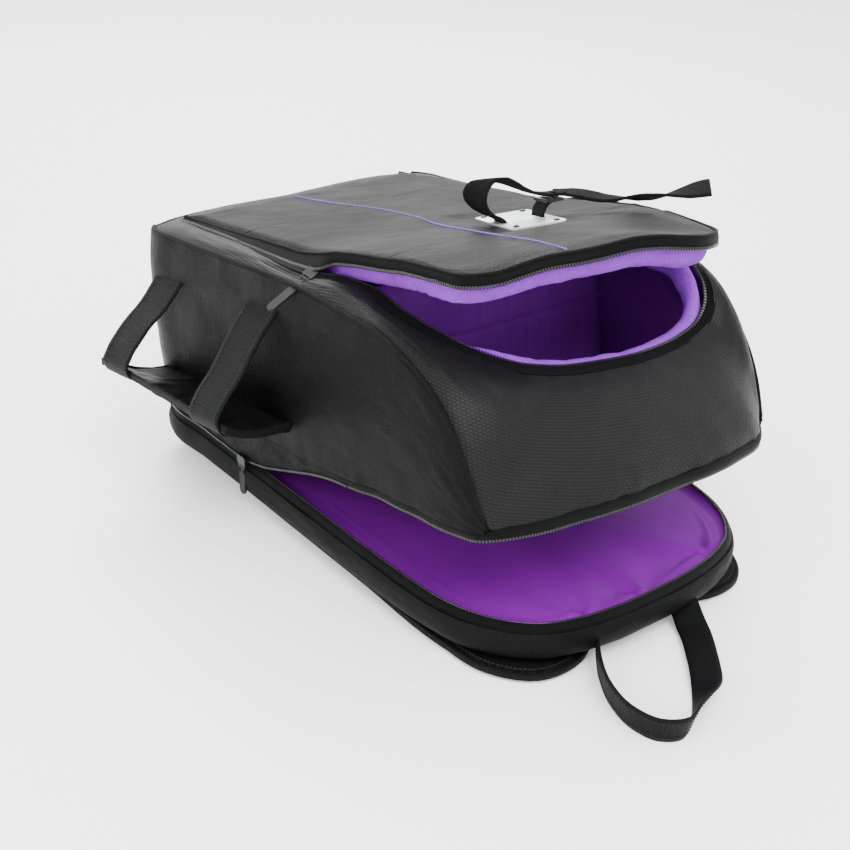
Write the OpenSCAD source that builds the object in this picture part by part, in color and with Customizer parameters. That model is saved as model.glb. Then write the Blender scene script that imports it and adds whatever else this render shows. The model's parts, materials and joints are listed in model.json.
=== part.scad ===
// Carrying case for a small drone, in the form of a soft backpack that lies on its harness side.
// X runs across the pack, Y from the top end (-Y) to the bottom end (+Y), Z up from the floor.
// The origin is on the underside of the middle back cushion, at the centre of the pack's plan.

/* [Pack] */
// Width across the back
pack_w = 320; // [310:1:330]
// Length from the top end to the bottom end
pack_l = 520; // [512:1:530]
// Plan radius of the two corners at the top end
top_corner_r = 105; // [95:1:110]
// Plan radius of the two corners at the bottom end
bottom_corner_r = 22; // [18:1:26]
// Thickness of the padded outer walls
wall = 4; // [3.5:0.5:5]
// Thickness of the lining
lining = 3; // [2:0.5:3]

/* [Back panel] */
// Height of the back cushions
cushion_h = 17; // [15:0.5:20]
// Height of the side wall round the rear compartment
band_h = 29; // [26:1:34]
// Thickness of the padded back board
board_t = 13; // [10:1:15]

/* [Main body] */
// Depth of the main body at its bottom end
body_h = 174; // [170:1:178]
// Place along the pack where the front starts to fall towards the top end
fold_y = 14; // [5:1:20]
// Fall of the front towards the top end, in degrees
front_slope = 14.2; // [13:0.1:15]
// Angle between the top end panel and the back, in degrees
end_slope = 58.2; // [56:0.1:60]
// Lean of the bottom end panel, in degrees
bottom_lean = 9.3; // [8:0.1:10]
// Radius of the nose between the front and the top end
nose_r = 60; // [50:1:70]
// Width of the slanted band between the front opening and each side panel
band_w = 30; // [28:1:32]
// Fall of that band
band_fall = 17; // [15:1:19]

/* [Front opening] */
// Half width of the front opening
opening_half_w = 130; // [128:1:130]
// Place of the opening's edge at the top end
opening_near_y = -200; // [-204:1:-196]
// Place of the opening's edge at the bottom end
opening_far_y = 222; // [218:1:222]
// Thickness of the lid's padded underside
lid_pad_t = 13; // [10:1:14]

/* [Opening angles at rest] */
// Lift of the main body off the back panel, in degrees
rear_open = 9.3; // [0:0.1:20]
// Lift of the lid off the front, in degrees
lid_open = 5.1; // [0:0.1:12]

/* [Webbing] */
// Width of the loops on the sides
side_webbing_w = 50; // [45:1:50]
// Reach of the side loops from the pack's side
loop_reach = 72; // [60:1:75]
// Width of the shoulder straps
strap_w = 60; // [54:1:62]
// Thickness of the shoulder straps
strap_t = 10; // [8:0.5:10]
// Width of the grab handle's webbing
handle_w = 25; // [20:1:28]

/* [Hidden] */
$fn = 48;

fabric_colour = "#2b2b2d";
purple_colour = "#6a3fa0";
fleece_colour = "#a67fd6";
zip_colour = "#111111";
webbing_colour = "#1d1d1f";

// Small running gap between pieces that move past each other
gap = 0.4;
zip_t = 1.2;
half_w = pack_w / 2;
half_l = pack_l / 2;
side_y0 = -half_l + top_corner_r;
side_y1 = half_l - bottom_corner_r;
band_top = cushion_h + band_h;
rear_hinge_z = band_top + zip_t + gap;
body_z = band_top + 2 * zip_t + gap;

// A straight edge of an outline is [angle of its outward normal, distance from the origin].
function edge_through(a, p) = [a, cos(a) * p[0] + sin(a) * p[1]];
function inset_edge(e, i) = [e[0], e[1] - i];
function meet(e, f) =
    [e[1] * sin(f[0]) - f[1] * sin(e[0]), f[1] * cos(e[0]) - e[1] * cos(f[0])] / sin(f[0] - e[0]);

// Side outline of the main body, drawn in (y, z)
fold_point = [fold_y, body_h];
bottom_edge = edge_through(bottom_lean, [half_l, 0]);
front_edge = edge_through(90, fold_point);
slope_edge = edge_through(90 + front_slope, fold_point);
end_edge = edge_through(90 + end_slope, [-half_l + 3, 0]);
nose_centre = meet(inset_edge(slope_edge, nose_r), inset_edge(end_edge, nose_r));
nose_steps = 5;
nose_edges = [
    for (k = [1:nose_steps])
        let (a = 90 + front_slope + (end_slope - front_slope) * k / (nose_steps + 1))
        edge_through(a, nose_centre + nose_r * [cos(a), sin(a)])
];
upper_edges = concat([bottom_edge, front_edge, slope_edge], nose_edges, [end_edge]);
function side_outline(i, floor_z) =
    let (e = concat([for (u = upper_edges) inset_edge(u, i)], [[270, -floor_z]]))
    [for (k = [0:len(e) - 1]) meet(e[k], e[(k + 1) % len(e)])];

// The lid's tip folds where the front's slope meets the top end
nose_corner = meet(slope_edge, end_edge);
lid_front_l = norm(nose_corner - fold_point);
lid_lift = 2;
lid_t = 3;
lid_hinge_z = body_h + lid_lift + lid_t / 2;
tip_y = fold_y - lid_front_l;
lid_near_y = tip_y - 47;
lid_half_w = opening_half_w + 3;
lid_zip_w = 4;
lid_fold_gap = 3;
pad_inset = 9;
nose_pad_gap = 30;
lid_corner_r = 85;

// Plate on the lid
plate_x = 28;
plate_y = -70;
plate_turn = 20;
plate_w = 50;
plate_l = 90;
plate_t = 1.6;
screw_x = 18;
screw_y = 38;
slot_x = 17;
slot_l = 26;
slot_w = 4;
lid_top = body_h + lid_lift + lid_t;

// Sliders
rear_slider_y = 108;
front_slider_y = -7;
eye_r = 1.8;
eye_bore_r = 0.9;
pin_r = 0.8;
pin_x = -2.4;
rear_pull_l = 29;
front_pull_l = 40;
band_tilt = atan2(band_fall, band_w);

// Offset points of a polyline, which make a ribbon of even width
function heading(p, i) =
    let (a = p[max(i - 1, 0)], b = p[min(i + 1, len(p) - 1)]) (b - a) / norm(b - a);
function side_points(p, d) = [for (i = [0:len(p) - 1]) p[i] + d * [-heading(p, i)[1], heading(p, i)[0]]];
function reversed(p) = [for (i = [len(p) - 1:-1:0]) p[i]];

module ribbon(points, width) {
    polygon(concat(side_points(points, width / 2), reversed(side_points(points, -width / 2))));
}

// A rectangle with its own radius at the near and at the far corners
module rounded_plan(w, y0, y1, near_r, far_r) {
    translate([-w, y0 + near_r]) square([2 * w, y1 - y0 - near_r - far_r]);
    translate([-w + near_r, y0]) square([2 * (w - near_r), near_r]);
    translate([-w + far_r, y1 - far_r]) square([2 * (w - far_r), far_r]);
    for (s = [-1, 1]) {
        translate([s * (w - near_r), y0 + near_r]) circle(near_r);
        translate([s * (w - far_r), y1 - far_r]) circle(far_r);
    }
}

module pack_plan(i) {
    rounded_plan(half_w - i, -half_l + i, half_l - i, top_corner_r - i, bottom_corner_r - i);
}

module slab(i, z0, z1) {
    translate([0, 0, z0]) linear_extrude(z1 - z0) pack_plan(i);
}

// Extrudes a shape drawn in (y, z) across the pack
module across(w) {
    rotate([90, 0, 90]) translate([0, 0, -w / 2]) linear_extrude(w) children();
}

// Extrudes a shape drawn in (x, z) along the pack
module along(l) {
    rotate([90, 0, 0]) translate([0, 0, -l / 2]) linear_extrude(l) children();
}

// Section with the slanted band beside the opening
module roof(i) {
    w = half_w - i;
    crest = half_w - band_w - i / 2;
    along(3 * pack_l)
        polygon([[-w, -pack_l], [w, -pack_l], [w, body_h - band_fall - i / 2], [crest, body_h - i],
                 [-crest, body_h - i], [-w, body_h - band_fall - i / 2]]);
}

module about_fold(angle, z = body_h) {
    translate([0, fold_y, z]) rotate([angle, 0, 0]) translate([0, -fold_y, -z]) children();
}

// The main body as one block, its walls moved in by i, its underside at floor_z
module body_block(i, floor_z) {
    intersection() {
        slab(i, floor_z, body_h + 5);
        across(pack_w + 20) polygon(side_outline(i, floor_z));
        roof(i);
        about_fold(front_slope) roof(i);
    }
}

module opening_plan(g) {
    rounded_plan(opening_half_w + g, opening_near_y - g, opening_far_y + g, 70 + g, 8 + g);
}

module opening_cut(g) {
    translate([0, 0, 40]) linear_extrude(body_h) opening_plan(g);
}

module y_range(y0, y1) {
    translate([-pack_w, y0, -10]) cube([2 * pack_w, y1 - y0, body_h + 60]);
}

// Places the main body's own frame: its underside is z = 0 there
module in_body() {
    translate([0, half_l, rear_hinge_z])
        rotate([-rear_open, 0, 0])
            translate([0, -half_l, body_z - rear_hinge_z])
                children();
}

module in_lid() {
    in_body() about_fold(-lid_open, lid_hinge_z) children();
}

module on_both_sides(s) {
    if (s > 0) children();
    else mirror([1, 0, 0]) children();
}

// ---- Back panel -------------------------------------------------------------------------

module back_board() {
    color(fabric_colour) slab(wall, cushion_h, cushion_h + board_t);
}

module band_wall() {
    color(fabric_colour)
        difference() {
            slab(0, cushion_h, band_top);
            slab(wall, cushion_h - 1, band_top + 1);
        }
}

module rear_lining() {
    color(purple_colour)
        difference() {
            slab(wall, cushion_h + board_t, band_top);
            slab(wall + 2, cushion_h + board_t + 2, band_top + 1);
        }
}

module rear_pocket() {
    pocket_z = cushion_h + board_t + 2;
    color(purple_colour)
        translate([0, 0, pocket_z])
            linear_extrude(6) rounded_plan(half_w - 22, -half_l + 110, half_l - 30, 20, 10);
}

module rear_zip_lower() {
    color(zip_colour)
        difference() {
            slab(0, band_top, band_top + zip_t);
            slab(8, band_top - 1, band_top + 2);
        }
}

module cushion(w, y0, y1) {
    color("#26262a") linear_extrude(cushion_h) rounded_plan(w, y0, y1, 18, 18);
}

module back_pad_top() { cushion(62, -178, -64); }
module back_pad_middle() { cushion(88, -50, 72); }
module back_pad_lumbar() { cushion(84, 86, 214); }

module strap_yoke() {
    color(webbing_colour) translate([-40, -246, cushion_h - 5]) cube([80, 56, 5]);
}

module strap_wing(s) {
    color(webbing_colour)
        on_both_sides(s)
            translate([0, 0, cushion_h - 5])
                linear_extrude(5) polygon([[104, 252], [152, 222], [152, 252]]);
}

module strap_wing_left() { strap_wing(-1); }
module strap_wing_right() { strap_wing(1); }

// ---- Harness ----------------------------------------------------------------------------

strap_path = [[62, -213], [84, -225], [106, -224], [122, -207], [128, -172], [127, -60],
              [125, 60], [124, 140], [124, 192]];
webbing_path = [[124, 196], [122, 216], [121, 236]];

module shoulder_strap(s) {
    color(fabric_colour)
        on_both_sides(s) translate([0, 0, gap]) linear_extrude(strap_t) ribbon(strap_path, strap_w);
}

module strap_webbing(s) {
    color(webbing_colour)
        on_both_sides(s) translate([0, 0, gap + 3]) linear_extrude(2) ribbon(webbing_path, 25);
}

// Ladder lock on the lower webbing, with its two bars
module ladder_lock(s) {
    color("#161618")
        on_both_sides(s)
            translate([122, 214, gap + 5.2]) linear_extrude(4)
                difference() {
                    translate([-17, -12]) square([34, 24]);
                    translate([-13, 2]) square([26, 5]);
                    translate([-13, -8]) square([26, 5]);
                }
}

module shoulder_strap_left() { shoulder_strap(-1); }
module shoulder_strap_right() { shoulder_strap(1); }
module strap_webbing_left() { strap_webbing(-1); }
module strap_webbing_right() { strap_webbing(1); }
module ladder_lock_left() { ladder_lock(-1); }
module ladder_lock_right() { ladder_lock(1); }

handle_path = [[-62, -266], [-76, -286], [-92, -318], [-88, -344], [-66, -352], [-38, -340],
               [-8, -312], [22, -284], [40, -266]];

module grab_handle() {
    color(webbing_colour) translate([0, 0, gap]) linear_extrude(handle_w) ribbon(handle_path, 3);
}

// ---- Main body --------------------------------------------------------------------------

// The walls under the front: everything within the wall thickness of the plan outline
module wall_ring() {
    difference() {
        body_block(0, 0);
        slab(wall, -2, body_h + 10);
        body_top_skin();
    }
}

// The front, nose and ends, one wall thick
module body_top_skin() {
    difference() {
        body_block(0, 0);
        intersection() {
            across(pack_w + 20) polygon(side_outline(wall, -1));
            roof_inside();
        }
    }
}

module roof_inside() {
    intersection() {
        roof_under();
        about_fold(front_slope) roof_under();
    }
}

// As roof(wall), but without its side faces
module roof_under() {
    crest = half_w - band_w - wall / 2;
    low = body_h - band_fall - wall / 2;
    along(3 * pack_l)
        polygon([[-half_w - 9, -pack_l], [half_w + 9, -pack_l], [half_w + 9, low],
                 [half_w, low], [crest, body_h - wall], [-crest, body_h - wall],
                 [-half_w, low], [-half_w - 9, low]]);
}

module side_panel(s) {
    color(fabric_colour)
        in_body()
            intersection() {
                body_block(0, 0);
                across(pack_w + 20) polygon(side_outline(wall, -1));
                roof_inside();
                on_both_sides(s)
                    translate([half_w - wall, side_y0, -10])
                        cube([2 * wall, side_y1 - side_y0, body_h]);
            }
}

module side_panel_left() { side_panel(-1); }
module side_panel_right() { side_panel(1); }

module top_end_panel() {
    color(fabric_colour)
        in_body()
            difference() {
                intersection() {
                    body_block(0, 0);
                    y_range(-pack_l, side_y0);
                }
                body_block(wall, -1);
                opening_cut(0);
            }
}

module bottom_end_panel() {
    color(fabric_colour)
        in_body()
            union() {
                intersection() {
                    wall_ring();
                    y_range(side_y1, pack_l);
                }
                intersection() {
                    body_top_skin();
                    y_range(opening_far_y + 3, pack_l);
                }
            }
}

module front_rim() {
    color(fabric_colour)
        in_body()
            difference() {
                intersection() {
                    body_top_skin();
                    y_range(side_y0, opening_far_y + 3);
                }
                opening_cut(0);
            }
}

module body_floor() {
    color(fabric_colour)
        in_body()
            intersection() {
                body_block(wall, 0);
                slab(wall, -1, 3);
            }
}

module main_lining() {
    color(purple_colour)
        in_body()
            difference() {
                body_block(wall, 3);
                body_block(wall + lining, 3 + lining);
                opening_cut(0);
            }
}

module inner_divider() {
    color(purple_colour)
        in_body()
            translate([-half_w + 9, -44, 3 + lining]) cube([pack_w - 18, 6, 118]);
}

// Fleece roll round the inside of the front opening
module opening_fleece() {
    color(fleece_colour)
        in_body()
            difference() {
                intersection() {
                    body_block(wall + lining, 20);
                    opening_cut(6);
                }
                opening_cut(0);
                body_block(wall + lining + 14, 10);
            }
}

module front_zip_lower() {
    color(zip_colour)
        in_body()
            difference() {
                intersection() {
                    body_block(-1, 0);
                    opening_cut(7);
                    translate([0, 0, 60]) y_range(-pack_l, opening_far_y + 6);
                }
                body_block(0, -2);
                opening_cut(0);
            }
}

module rear_zip_upper() {
    color(zip_colour)
        in_body()
            difference() {
                slab(0, -zip_t, 0);
                slab(8, -zip_t - 1, 1);
                translate([-pack_w, -pack_l, -10]) cube([2 * pack_w, pack_l - half_l + 3, 20]);
            }
}

// Welt along the upper edge of each side panel
module side_piping(s) {
    piping_r = 2;
    edge_z = body_h - band_fall;
    color(webbing_colour)
        in_body()
            on_both_sides(s)
                difference() {
                    union() {
                        translate([half_w, fold_y - 1, edge_z])
                            rotate([-90, 0, 0]) cylinder(r = piping_r, h = side_y1 - fold_y);
                        about_fold(front_slope)
                            translate([half_w, fold_y, edge_z])
                                rotate([90, 0, 0]) cylinder(r = piping_r, h = fold_y - side_y0);
                    }
                    body_block(0, -1);
                }
}

module side_piping_left() { side_piping(-1); }
module side_piping_right() { side_piping(1); }

// Places along the pack of the two webbing loops on each side
loop_places = [17, 175];
loop_top_z = 140;
loop_low_z = 64;
shelf_z = 34;

module side_loops(s) {
    color(webbing_colour)
        in_body()
            on_both_sides(s)
                for (y = loop_places)
                    translate([0, y + side_webbing_w / 2, 0])
                        along(side_webbing_w)
                            ribbon([[half_w + 1.4, loop_top_z + 6], [half_w + 1.4, loop_top_z],
                                    [half_w + loop_reach, loop_low_z],
                                    [half_w + loop_reach, loop_low_z - 12]], 2.4);
}

module side_loops_left() { side_loops(-1); }
module side_loops_right() { side_loops(1); }

// Flap under the loops, from the pack's side out to their lower ends
module side_shelf(s) {
    shelf_y0 = loop_places[0] - 4;
    shelf_y1 = loop_places[1] + side_webbing_w + 8;
    color(fabric_colour)
        in_body()
            on_both_sides(s)
                translate([0, (shelf_y0 + shelf_y1) / 2, 0])
                    along(shelf_y1 - shelf_y0)
                        polygon([[half_w, shelf_z], [half_w + loop_reach - 2, loop_low_z - 16],
                                 [half_w + loop_reach - 2, loop_low_z - 4], [half_w, shelf_z + 6]]);
}

module side_shelf_left() { side_shelf(-1); }
module side_shelf_right() { side_shelf(1); }

// ---- Lid --------------------------------------------------------------------------------

module lid_plan(g) {
    rounded_plan(lid_half_w + g, lid_near_y - g, opening_far_y - 3, lid_corner_r + g, 3);
}

// A layer of the lid between two places along the pack
module lid_layer(g, z0, t, y0, y1) {
    intersection() {
        translate([0, 0, z0]) linear_extrude(t) lid_plan(g);
        y_range(y0, y1);
    }
}

module lid_zip(y0, y1) {
    color(zip_colour)
        difference() {
            lid_layer(lid_zip_w, body_h + lid_lift, lid_t, y0, y1);
            translate([0, 0, body_h]) linear_extrude(20) lid_plan(0);
        }
}

module lid_panel(y0, y1) {
    color(fabric_colour) lid_layer(0, body_h + lid_lift, lid_t, y0, y1);
}

module lid_pad(y0, y1) {
    color(fleece_colour)
        lid_layer(-pad_inset, body_h + lid_lift - lid_pad_t, lid_pad_t, y0, y1);
}

rear_y0 = fold_y + lid_fold_gap;
front_y0 = tip_y + lid_fold_gap;
front_y1 = fold_y - lid_fold_gap;
tip_y1 = tip_y - lid_fold_gap;

module lid_rear_panel() { in_body() lid_panel(rear_y0, half_l); }
module lid_rear_pad() { in_body() lid_pad(rear_y0 + 3, opening_far_y - 20); }
module lid_rear_zip() { in_body() lid_zip(rear_y0, opening_far_y - 8); }
module lid_tip_panel() { in_lid() lid_panel(-pack_l, tip_y1); }
module lid_tip_pad() { in_lid() lid_pad(-pack_l, tip_y1 - 7); }
module lid_tip_zip() { in_lid() lid_zip(-pack_l, tip_y1); }
module lid_front_zip() { in_lid() lid_zip(front_y0, front_y1); }

// Places a drawing made round the plate's centre, square to the plate
module at_plate() {
    translate([plate_x, plate_y, 0]) rotate([0, 0, -plate_turn]) children();
}

module screw_places() {
    at_plate()
        for (x = [-screw_x, screw_x], y = [-screw_y, screw_y])
            translate([x, y, 0]) children();
}

module slot_cut() {
    at_plate()
        for (x = [-slot_x, slot_x])
            translate([x, 0, lid_top])
                cube([slot_w, slot_l, 3 * lid_pad_t], center = true);
}

module lid_front_panel() {
    in_lid()
        difference() {
            lid_panel(front_y0, front_y1);
            screw_places() translate([0, 0, body_h - 20]) cylinder(r = 1.7, h = 40);
            slot_cut();
        }
}

// The backing plate is let into the pad's underside
module lid_front_pad() {
    in_lid()
        difference() {
            lid_pad(front_y0 + nose_pad_gap, front_y1 - 3);
            screw_places() translate([0, 0, body_h - 20]) cylinder(r = 1.7, h = 40);
            slot_cut();
        }
}

module plate_outline() {
    at_plate() rounded_plan(plate_w / 2, -plate_l / 2, plate_l / 2, 5, 5);
}

module mount_plate() {
    color("#d9dbdc")
        in_lid()
            difference() {
                translate([0, 0, lid_top]) linear_extrude(plate_t) plate_outline();
                screw_places() translate([0, 0, lid_top - 1]) cylinder(r = 1.6, h = 5);
                slot_cut();
            }
}

module plate_backing() {
    back_z = lid_top - lid_t - lid_pad_t - plate_t;
    color("#b9bbbd")
        in_lid()
            difference() {
                translate([0, 0, back_z]) linear_extrude(plate_t) plate_outline();
                screw_places() translate([0, 0, back_z - 1]) cylinder(r = 1.6, h = 5);
                slot_cut();
            }
}

// Four button-head screws, with their nuts under the backing plate
module plate_screws() {
    shank_l = lid_t + lid_pad_t + 2 * plate_t + 3;
    color("#202022")
        in_lid()
            screw_places()
                translate([0, 0, lid_top + plate_t]) {
                    intersection() {
                        cylinder(r = 2.9, h = 1.7);
                        translate([0, 0, -2.2]) sphere(r = 3.9);
                    }
                    translate([0, 0, -shank_l]) cylinder(r = 1.5, h = shank_l);
                    translate([0, 0, 0.4 - shank_l]) cylinder(r = 2.8, h = 2.4, $fn = 6);
                }
}

strap_base_z = lid_top + plate_t;
strap_thick = 2;
strap_width = 20;

// Places a drawing in (x, height above the plate) across the plate
module over_plate() {
    in_lid() translate([0, 0, strap_base_z]) at_plate() children();
}

// Hook and loop strap: up through one slot, over in a loop, past the buckle, and a loose tail
module hook_loop_strap() {
    loop = [[-17, -3], [-17, 1], [-28, 5], [-42, 13], [-46, 24], [-38, 33], [-24, 34], [0, 26],
            [18, 20], [38, 17]];
    tail = [[-6, 18.2], [12, 16.6], [38, 8], [64, 4.6], [96, 4.2], [128, 6]];
    short_side = [[17, -3], [17, 1], [20, 6], [24, 10]];
    color("#2a2a2c")
        over_plate() {
            along(strap_width) ribbon(loop, strap_thick);
            along(strap_width) ribbon(short_side, strap_thick);
            translate([36, 0, 0]) rotate([0, 0, -25]) along(strap_width) ribbon(tail, strap_thick);
        }
}

// Square two-slot ring at the end of the strap's short side
module strap_buckle() {
    color("#161618")
        over_plate()
            translate([20, 0, 11.4])
                difference() {
                    translate([0, -14, 0]) cube([16, 28, 2.4]);
                    for (x = [3.5, 9]) translate([x, -10.6, -1]) cube([3.5, 21.2, 5]);
                }
}

// ---- Zip sliders ------------------------------------------------------------------------

// Slider with two ears and a pin between them: zip along Y, outside towards -X
module slider() {
    color("#1a1a1c") {
        difference() {
            translate([0, -6.5, 0]) cube([9, 13, 4.4]);
            translate([2.5, -7, -1]) cube([4, 14, 2]);
        }
        for (y = [-1, 1])
            translate([pin_x - 1.4, y * 4.1 - 0.9, 0.6]) cube([4.8, 1.8, 3.4]);
        translate([pin_x, 0, 2.4]) rotate([90, 0, 0]) cylinder(r = pin_r, h = 8, center = true);
    }
}

// Pull tab with an eye round the slider's pin, pointing towards -X
module pull(l) {
    color("#2c2c30")
        translate([pin_x, 0, 2.4])
            difference() {
                union() {
                    rotate([90, 0, 0]) cylinder(r = eye_r, h = 5, center = true);
                    translate([-7, -1.6, -0.9]) cube([6, 3.2, 1.8]);
                    translate([0, 0, -1.1])
                        linear_extrude(2.2) {
                            translate([-l + 4.5, -4.5]) square([l - 10.5, 9]);
                            translate([-l + 4.5, 0]) circle(4.5);
                        }
                }
                rotate([90, 0, 0]) cylinder(r = eye_bore_r, h = 6, center = true);
            }
}

// A slider on the back panel's side wall stands upright, its ears downwards
module on_rear_zip(s) {
    on_both_sides(-s)
        translate([-half_w - 0.4, rear_slider_y, band_top - 2])
            rotate([0, -90, 0])
                children();
}

module rear_slider(s) { on_rear_zip(s) slider(); }
module rear_pull(s) { on_rear_zip(s) pull(rear_pull_l); }
module rear_slider_left() { rear_slider(-1); }
module rear_slider_right() { rear_slider(1); }
module rear_pull_left() { rear_pull(-1); }
module rear_pull_right() { rear_pull(1); }

// A slider on the front zip lies on the slanted band, just outside the lid's edge
module on_front_zip(s) {
    in_body()
        on_both_sides(-s)
            about_fold(front_slope)
                translate([-half_w + band_w, front_slider_y, body_h])
                    rotate([0, -band_tilt, 0])
                        translate([-18, 0, 1.4])
                            children();
}

module front_slider(s) { on_front_zip(s) slider(); }
module front_pull(s) { on_front_zip(s) pull(front_pull_l); }
module front_slider_left() { front_slider(-1); }
module front_slider_right() { front_slider(1); }
module front_pull_left() { front_pull(-1); }
module front_pull_right() { front_pull(1); }

back_board();
band_wall();
rear_lining();
rear_pocket();
rear_zip_lower();
back_pad_top();
back_pad_middle();
back_pad_lumbar();
strap_yoke();
strap_wing_left();
strap_wing_right();
shoulder_strap_left();
shoulder_strap_right();
strap_webbing_left();
strap_webbing_right();
ladder_lock_left();
ladder_lock_right();
grab_handle();
side_panel_left();
side_panel_right();
top_end_panel();
bottom_end_panel();
front_rim();
body_floor();
main_lining();
inner_divider();
opening_fleece();
front_zip_lower();
rear_zip_upper();
side_piping_left();
side_piping_right();
side_loops_left();
side_loops_right();
side_shelf_left();
side_shelf_right();
lid_rear_panel();
lid_rear_pad();
lid_rear_zip();
lid_front_panel();
lid_front_pad();
lid_front_zip();
lid_tip_panel();
lid_tip_pad();
lid_tip_zip();
mount_plate();
plate_screws();
plate_backing();
hook_loop_strap();
strap_buckle();
rear_slider_left();
rear_slider_right();
rear_pull_left();
rear_pull_right();
front_slider_left();
front_slider_right();
front_pull_left();
front_pull_right();
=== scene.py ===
import json
import math

import bpy
import numpy as np
from mathutils import Matrix, Vector

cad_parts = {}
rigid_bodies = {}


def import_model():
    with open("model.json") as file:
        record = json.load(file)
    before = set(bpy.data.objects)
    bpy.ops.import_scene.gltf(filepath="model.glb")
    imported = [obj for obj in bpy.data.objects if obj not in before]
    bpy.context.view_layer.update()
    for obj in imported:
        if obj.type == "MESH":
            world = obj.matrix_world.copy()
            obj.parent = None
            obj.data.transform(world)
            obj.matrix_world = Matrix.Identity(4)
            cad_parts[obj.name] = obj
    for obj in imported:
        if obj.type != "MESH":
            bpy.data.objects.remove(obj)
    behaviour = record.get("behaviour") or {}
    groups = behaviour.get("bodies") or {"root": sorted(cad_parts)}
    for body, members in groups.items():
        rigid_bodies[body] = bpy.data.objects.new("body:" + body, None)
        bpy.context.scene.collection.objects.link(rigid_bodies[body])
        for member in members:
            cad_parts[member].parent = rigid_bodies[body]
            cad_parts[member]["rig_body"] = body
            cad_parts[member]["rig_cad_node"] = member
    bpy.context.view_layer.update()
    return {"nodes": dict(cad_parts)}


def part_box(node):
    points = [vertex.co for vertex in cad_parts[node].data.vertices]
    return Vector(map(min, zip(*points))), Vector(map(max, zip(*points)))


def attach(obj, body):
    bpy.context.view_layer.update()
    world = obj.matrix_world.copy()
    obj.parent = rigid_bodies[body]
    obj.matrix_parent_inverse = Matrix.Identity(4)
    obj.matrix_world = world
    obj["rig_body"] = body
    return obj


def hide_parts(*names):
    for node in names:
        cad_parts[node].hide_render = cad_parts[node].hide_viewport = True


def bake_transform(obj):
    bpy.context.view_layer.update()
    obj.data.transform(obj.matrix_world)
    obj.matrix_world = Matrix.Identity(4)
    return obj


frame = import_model()

# ---- Camera ------------------------------------------------------------------------------


def add_camera():
    yaw, pitch, roll = math.radians(-39.7), math.radians(28.02), math.radians(2.53)
    back = Vector((math.sin(yaw) * math.cos(pitch), -math.cos(yaw) * math.cos(pitch), math.sin(pitch)))
    right = (-back).cross(Vector((0, 0, 1))).normalized()
    up = right.cross(-back)
    x_axis = math.cos(roll) * right + math.sin(roll) * up
    y_axis = -math.sin(roll) * right + math.cos(roll) * up
    data = bpy.data.cameras.new("camera")
    data.sensor_width = 36
    data.lens = 58.91
    data.clip_end = 50
    cam = bpy.data.objects.new("camera", data)
    bpy.context.scene.collection.objects.link(cam)
    cam.matrix_world = Matrix((
        (x_axis[0], y_axis[0], back[0], -0.7430),
        (x_axis[1], y_axis[1], back[1], -0.8504),
        (x_axis[2], y_axis[2], back[2], 0.6826),
        (0, 0, 0, 1)))
    bpy.context.scene.camera = cam


add_camera()

# ---- Places: millimetres in the pack's own frames, turned into the row frame ----------------

OPEN = math.radians(9.3)
LID_OPEN = math.radians(5.1)
HINGE_Y, HINGE_Z, BODY_Z = 260.0, 47.6, 48.8
FOLD_Y, LID_Z = 14.0, 177.5


def body(p):
    """The main body's frame (y, z up from its zip) to the row frame, still in millimetres."""
    p = np.asarray(p, float)
    y, z = p[..., 1] - HINGE_Y, p[..., 2] + BODY_Z - HINGE_Z
    return np.stack([p[..., 0], HINGE_Y + y * math.cos(OPEN) + z * math.sin(OPEN),
                     HINGE_Z - y * math.sin(OPEN) + z * math.cos(OPEN)], -1)


LID_S = np.linspace(260, -280, 541)
LID_A = LID_OPEN * np.clip((FOLD_Y + 22 - LID_S) / 44, 0, 1)
LID_CY = 260 - np.concatenate([[0], np.cumsum(np.cos(LID_A[1:]))])
LID_CZ = LID_Z + np.concatenate([[0], np.cumsum(np.sin(LID_A[1:]))])


def lid(p):
    """The lid's frame: x, y measured along the lid, and z the height above its middle."""
    p = np.asarray(p, float)
    y, h = p[..., 1], p[..., 2]
    i = 260 - y
    cy, cz = np.interp(i, np.arange(541), LID_CY), np.interp(i, np.arange(541), LID_CZ)
    a = np.interp(i, np.arange(541), LID_A)
    return body(np.stack([p[..., 0], cy + h * np.sin(a), cz + h * np.cos(a)], -1))


# ---- Curves and nets --------------------------------------------------------------------


def spline(p, n, closed=False, at=None):
    """Points of a smooth curve, or of a net along its first index, evenly spaced."""
    p = np.asarray(p, float)
    if closed:
        p = np.concatenate([p[-2:], p, p[:3]])
    flat = p.reshape(len(p), -1)
    h = np.linalg.norm(np.diff(p.reshape(len(p), -1, 3), axis=0), axis=2).mean(1)
    h = np.maximum(h, 1e-6)
    t = np.concatenate([[0], np.cumsum(h)])
    s = np.diff(flat, axis=0) / h[:, None]
    m = np.empty_like(flat)
    m[1:-1] = (s[:-1] * h[1:, None] + s[1:] * h[:-1, None]) / (h[1:] + h[:-1])[:, None]
    m[0], m[-1] = s[0], s[-1]
    lo, hi = (t[2], t[-3]) if closed else (t[0], t[-1])
    x = np.linspace(lo, hi, n) if at is None else lo + (hi - lo) * np.asarray(at, float)
    k = np.clip(np.searchsorted(t, x, "right") - 1, 0, len(h) - 1)
    u = ((x - t[k]) / h[k])[:, None]
    a, b = flat[k], flat[k + 1]
    ma, mb = m[k] * h[k][:, None], m[k + 1] * h[k][:, None]
    out = a * (2 * u**3 - 3 * u**2 + 1) + ma * (u**3 - 2 * u**2 + u) + b * (3 * u**2 - 2 * u**3) + mb * (u**3
        - u**2)
    return out.reshape((len(x),) + p.shape[1:])


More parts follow.
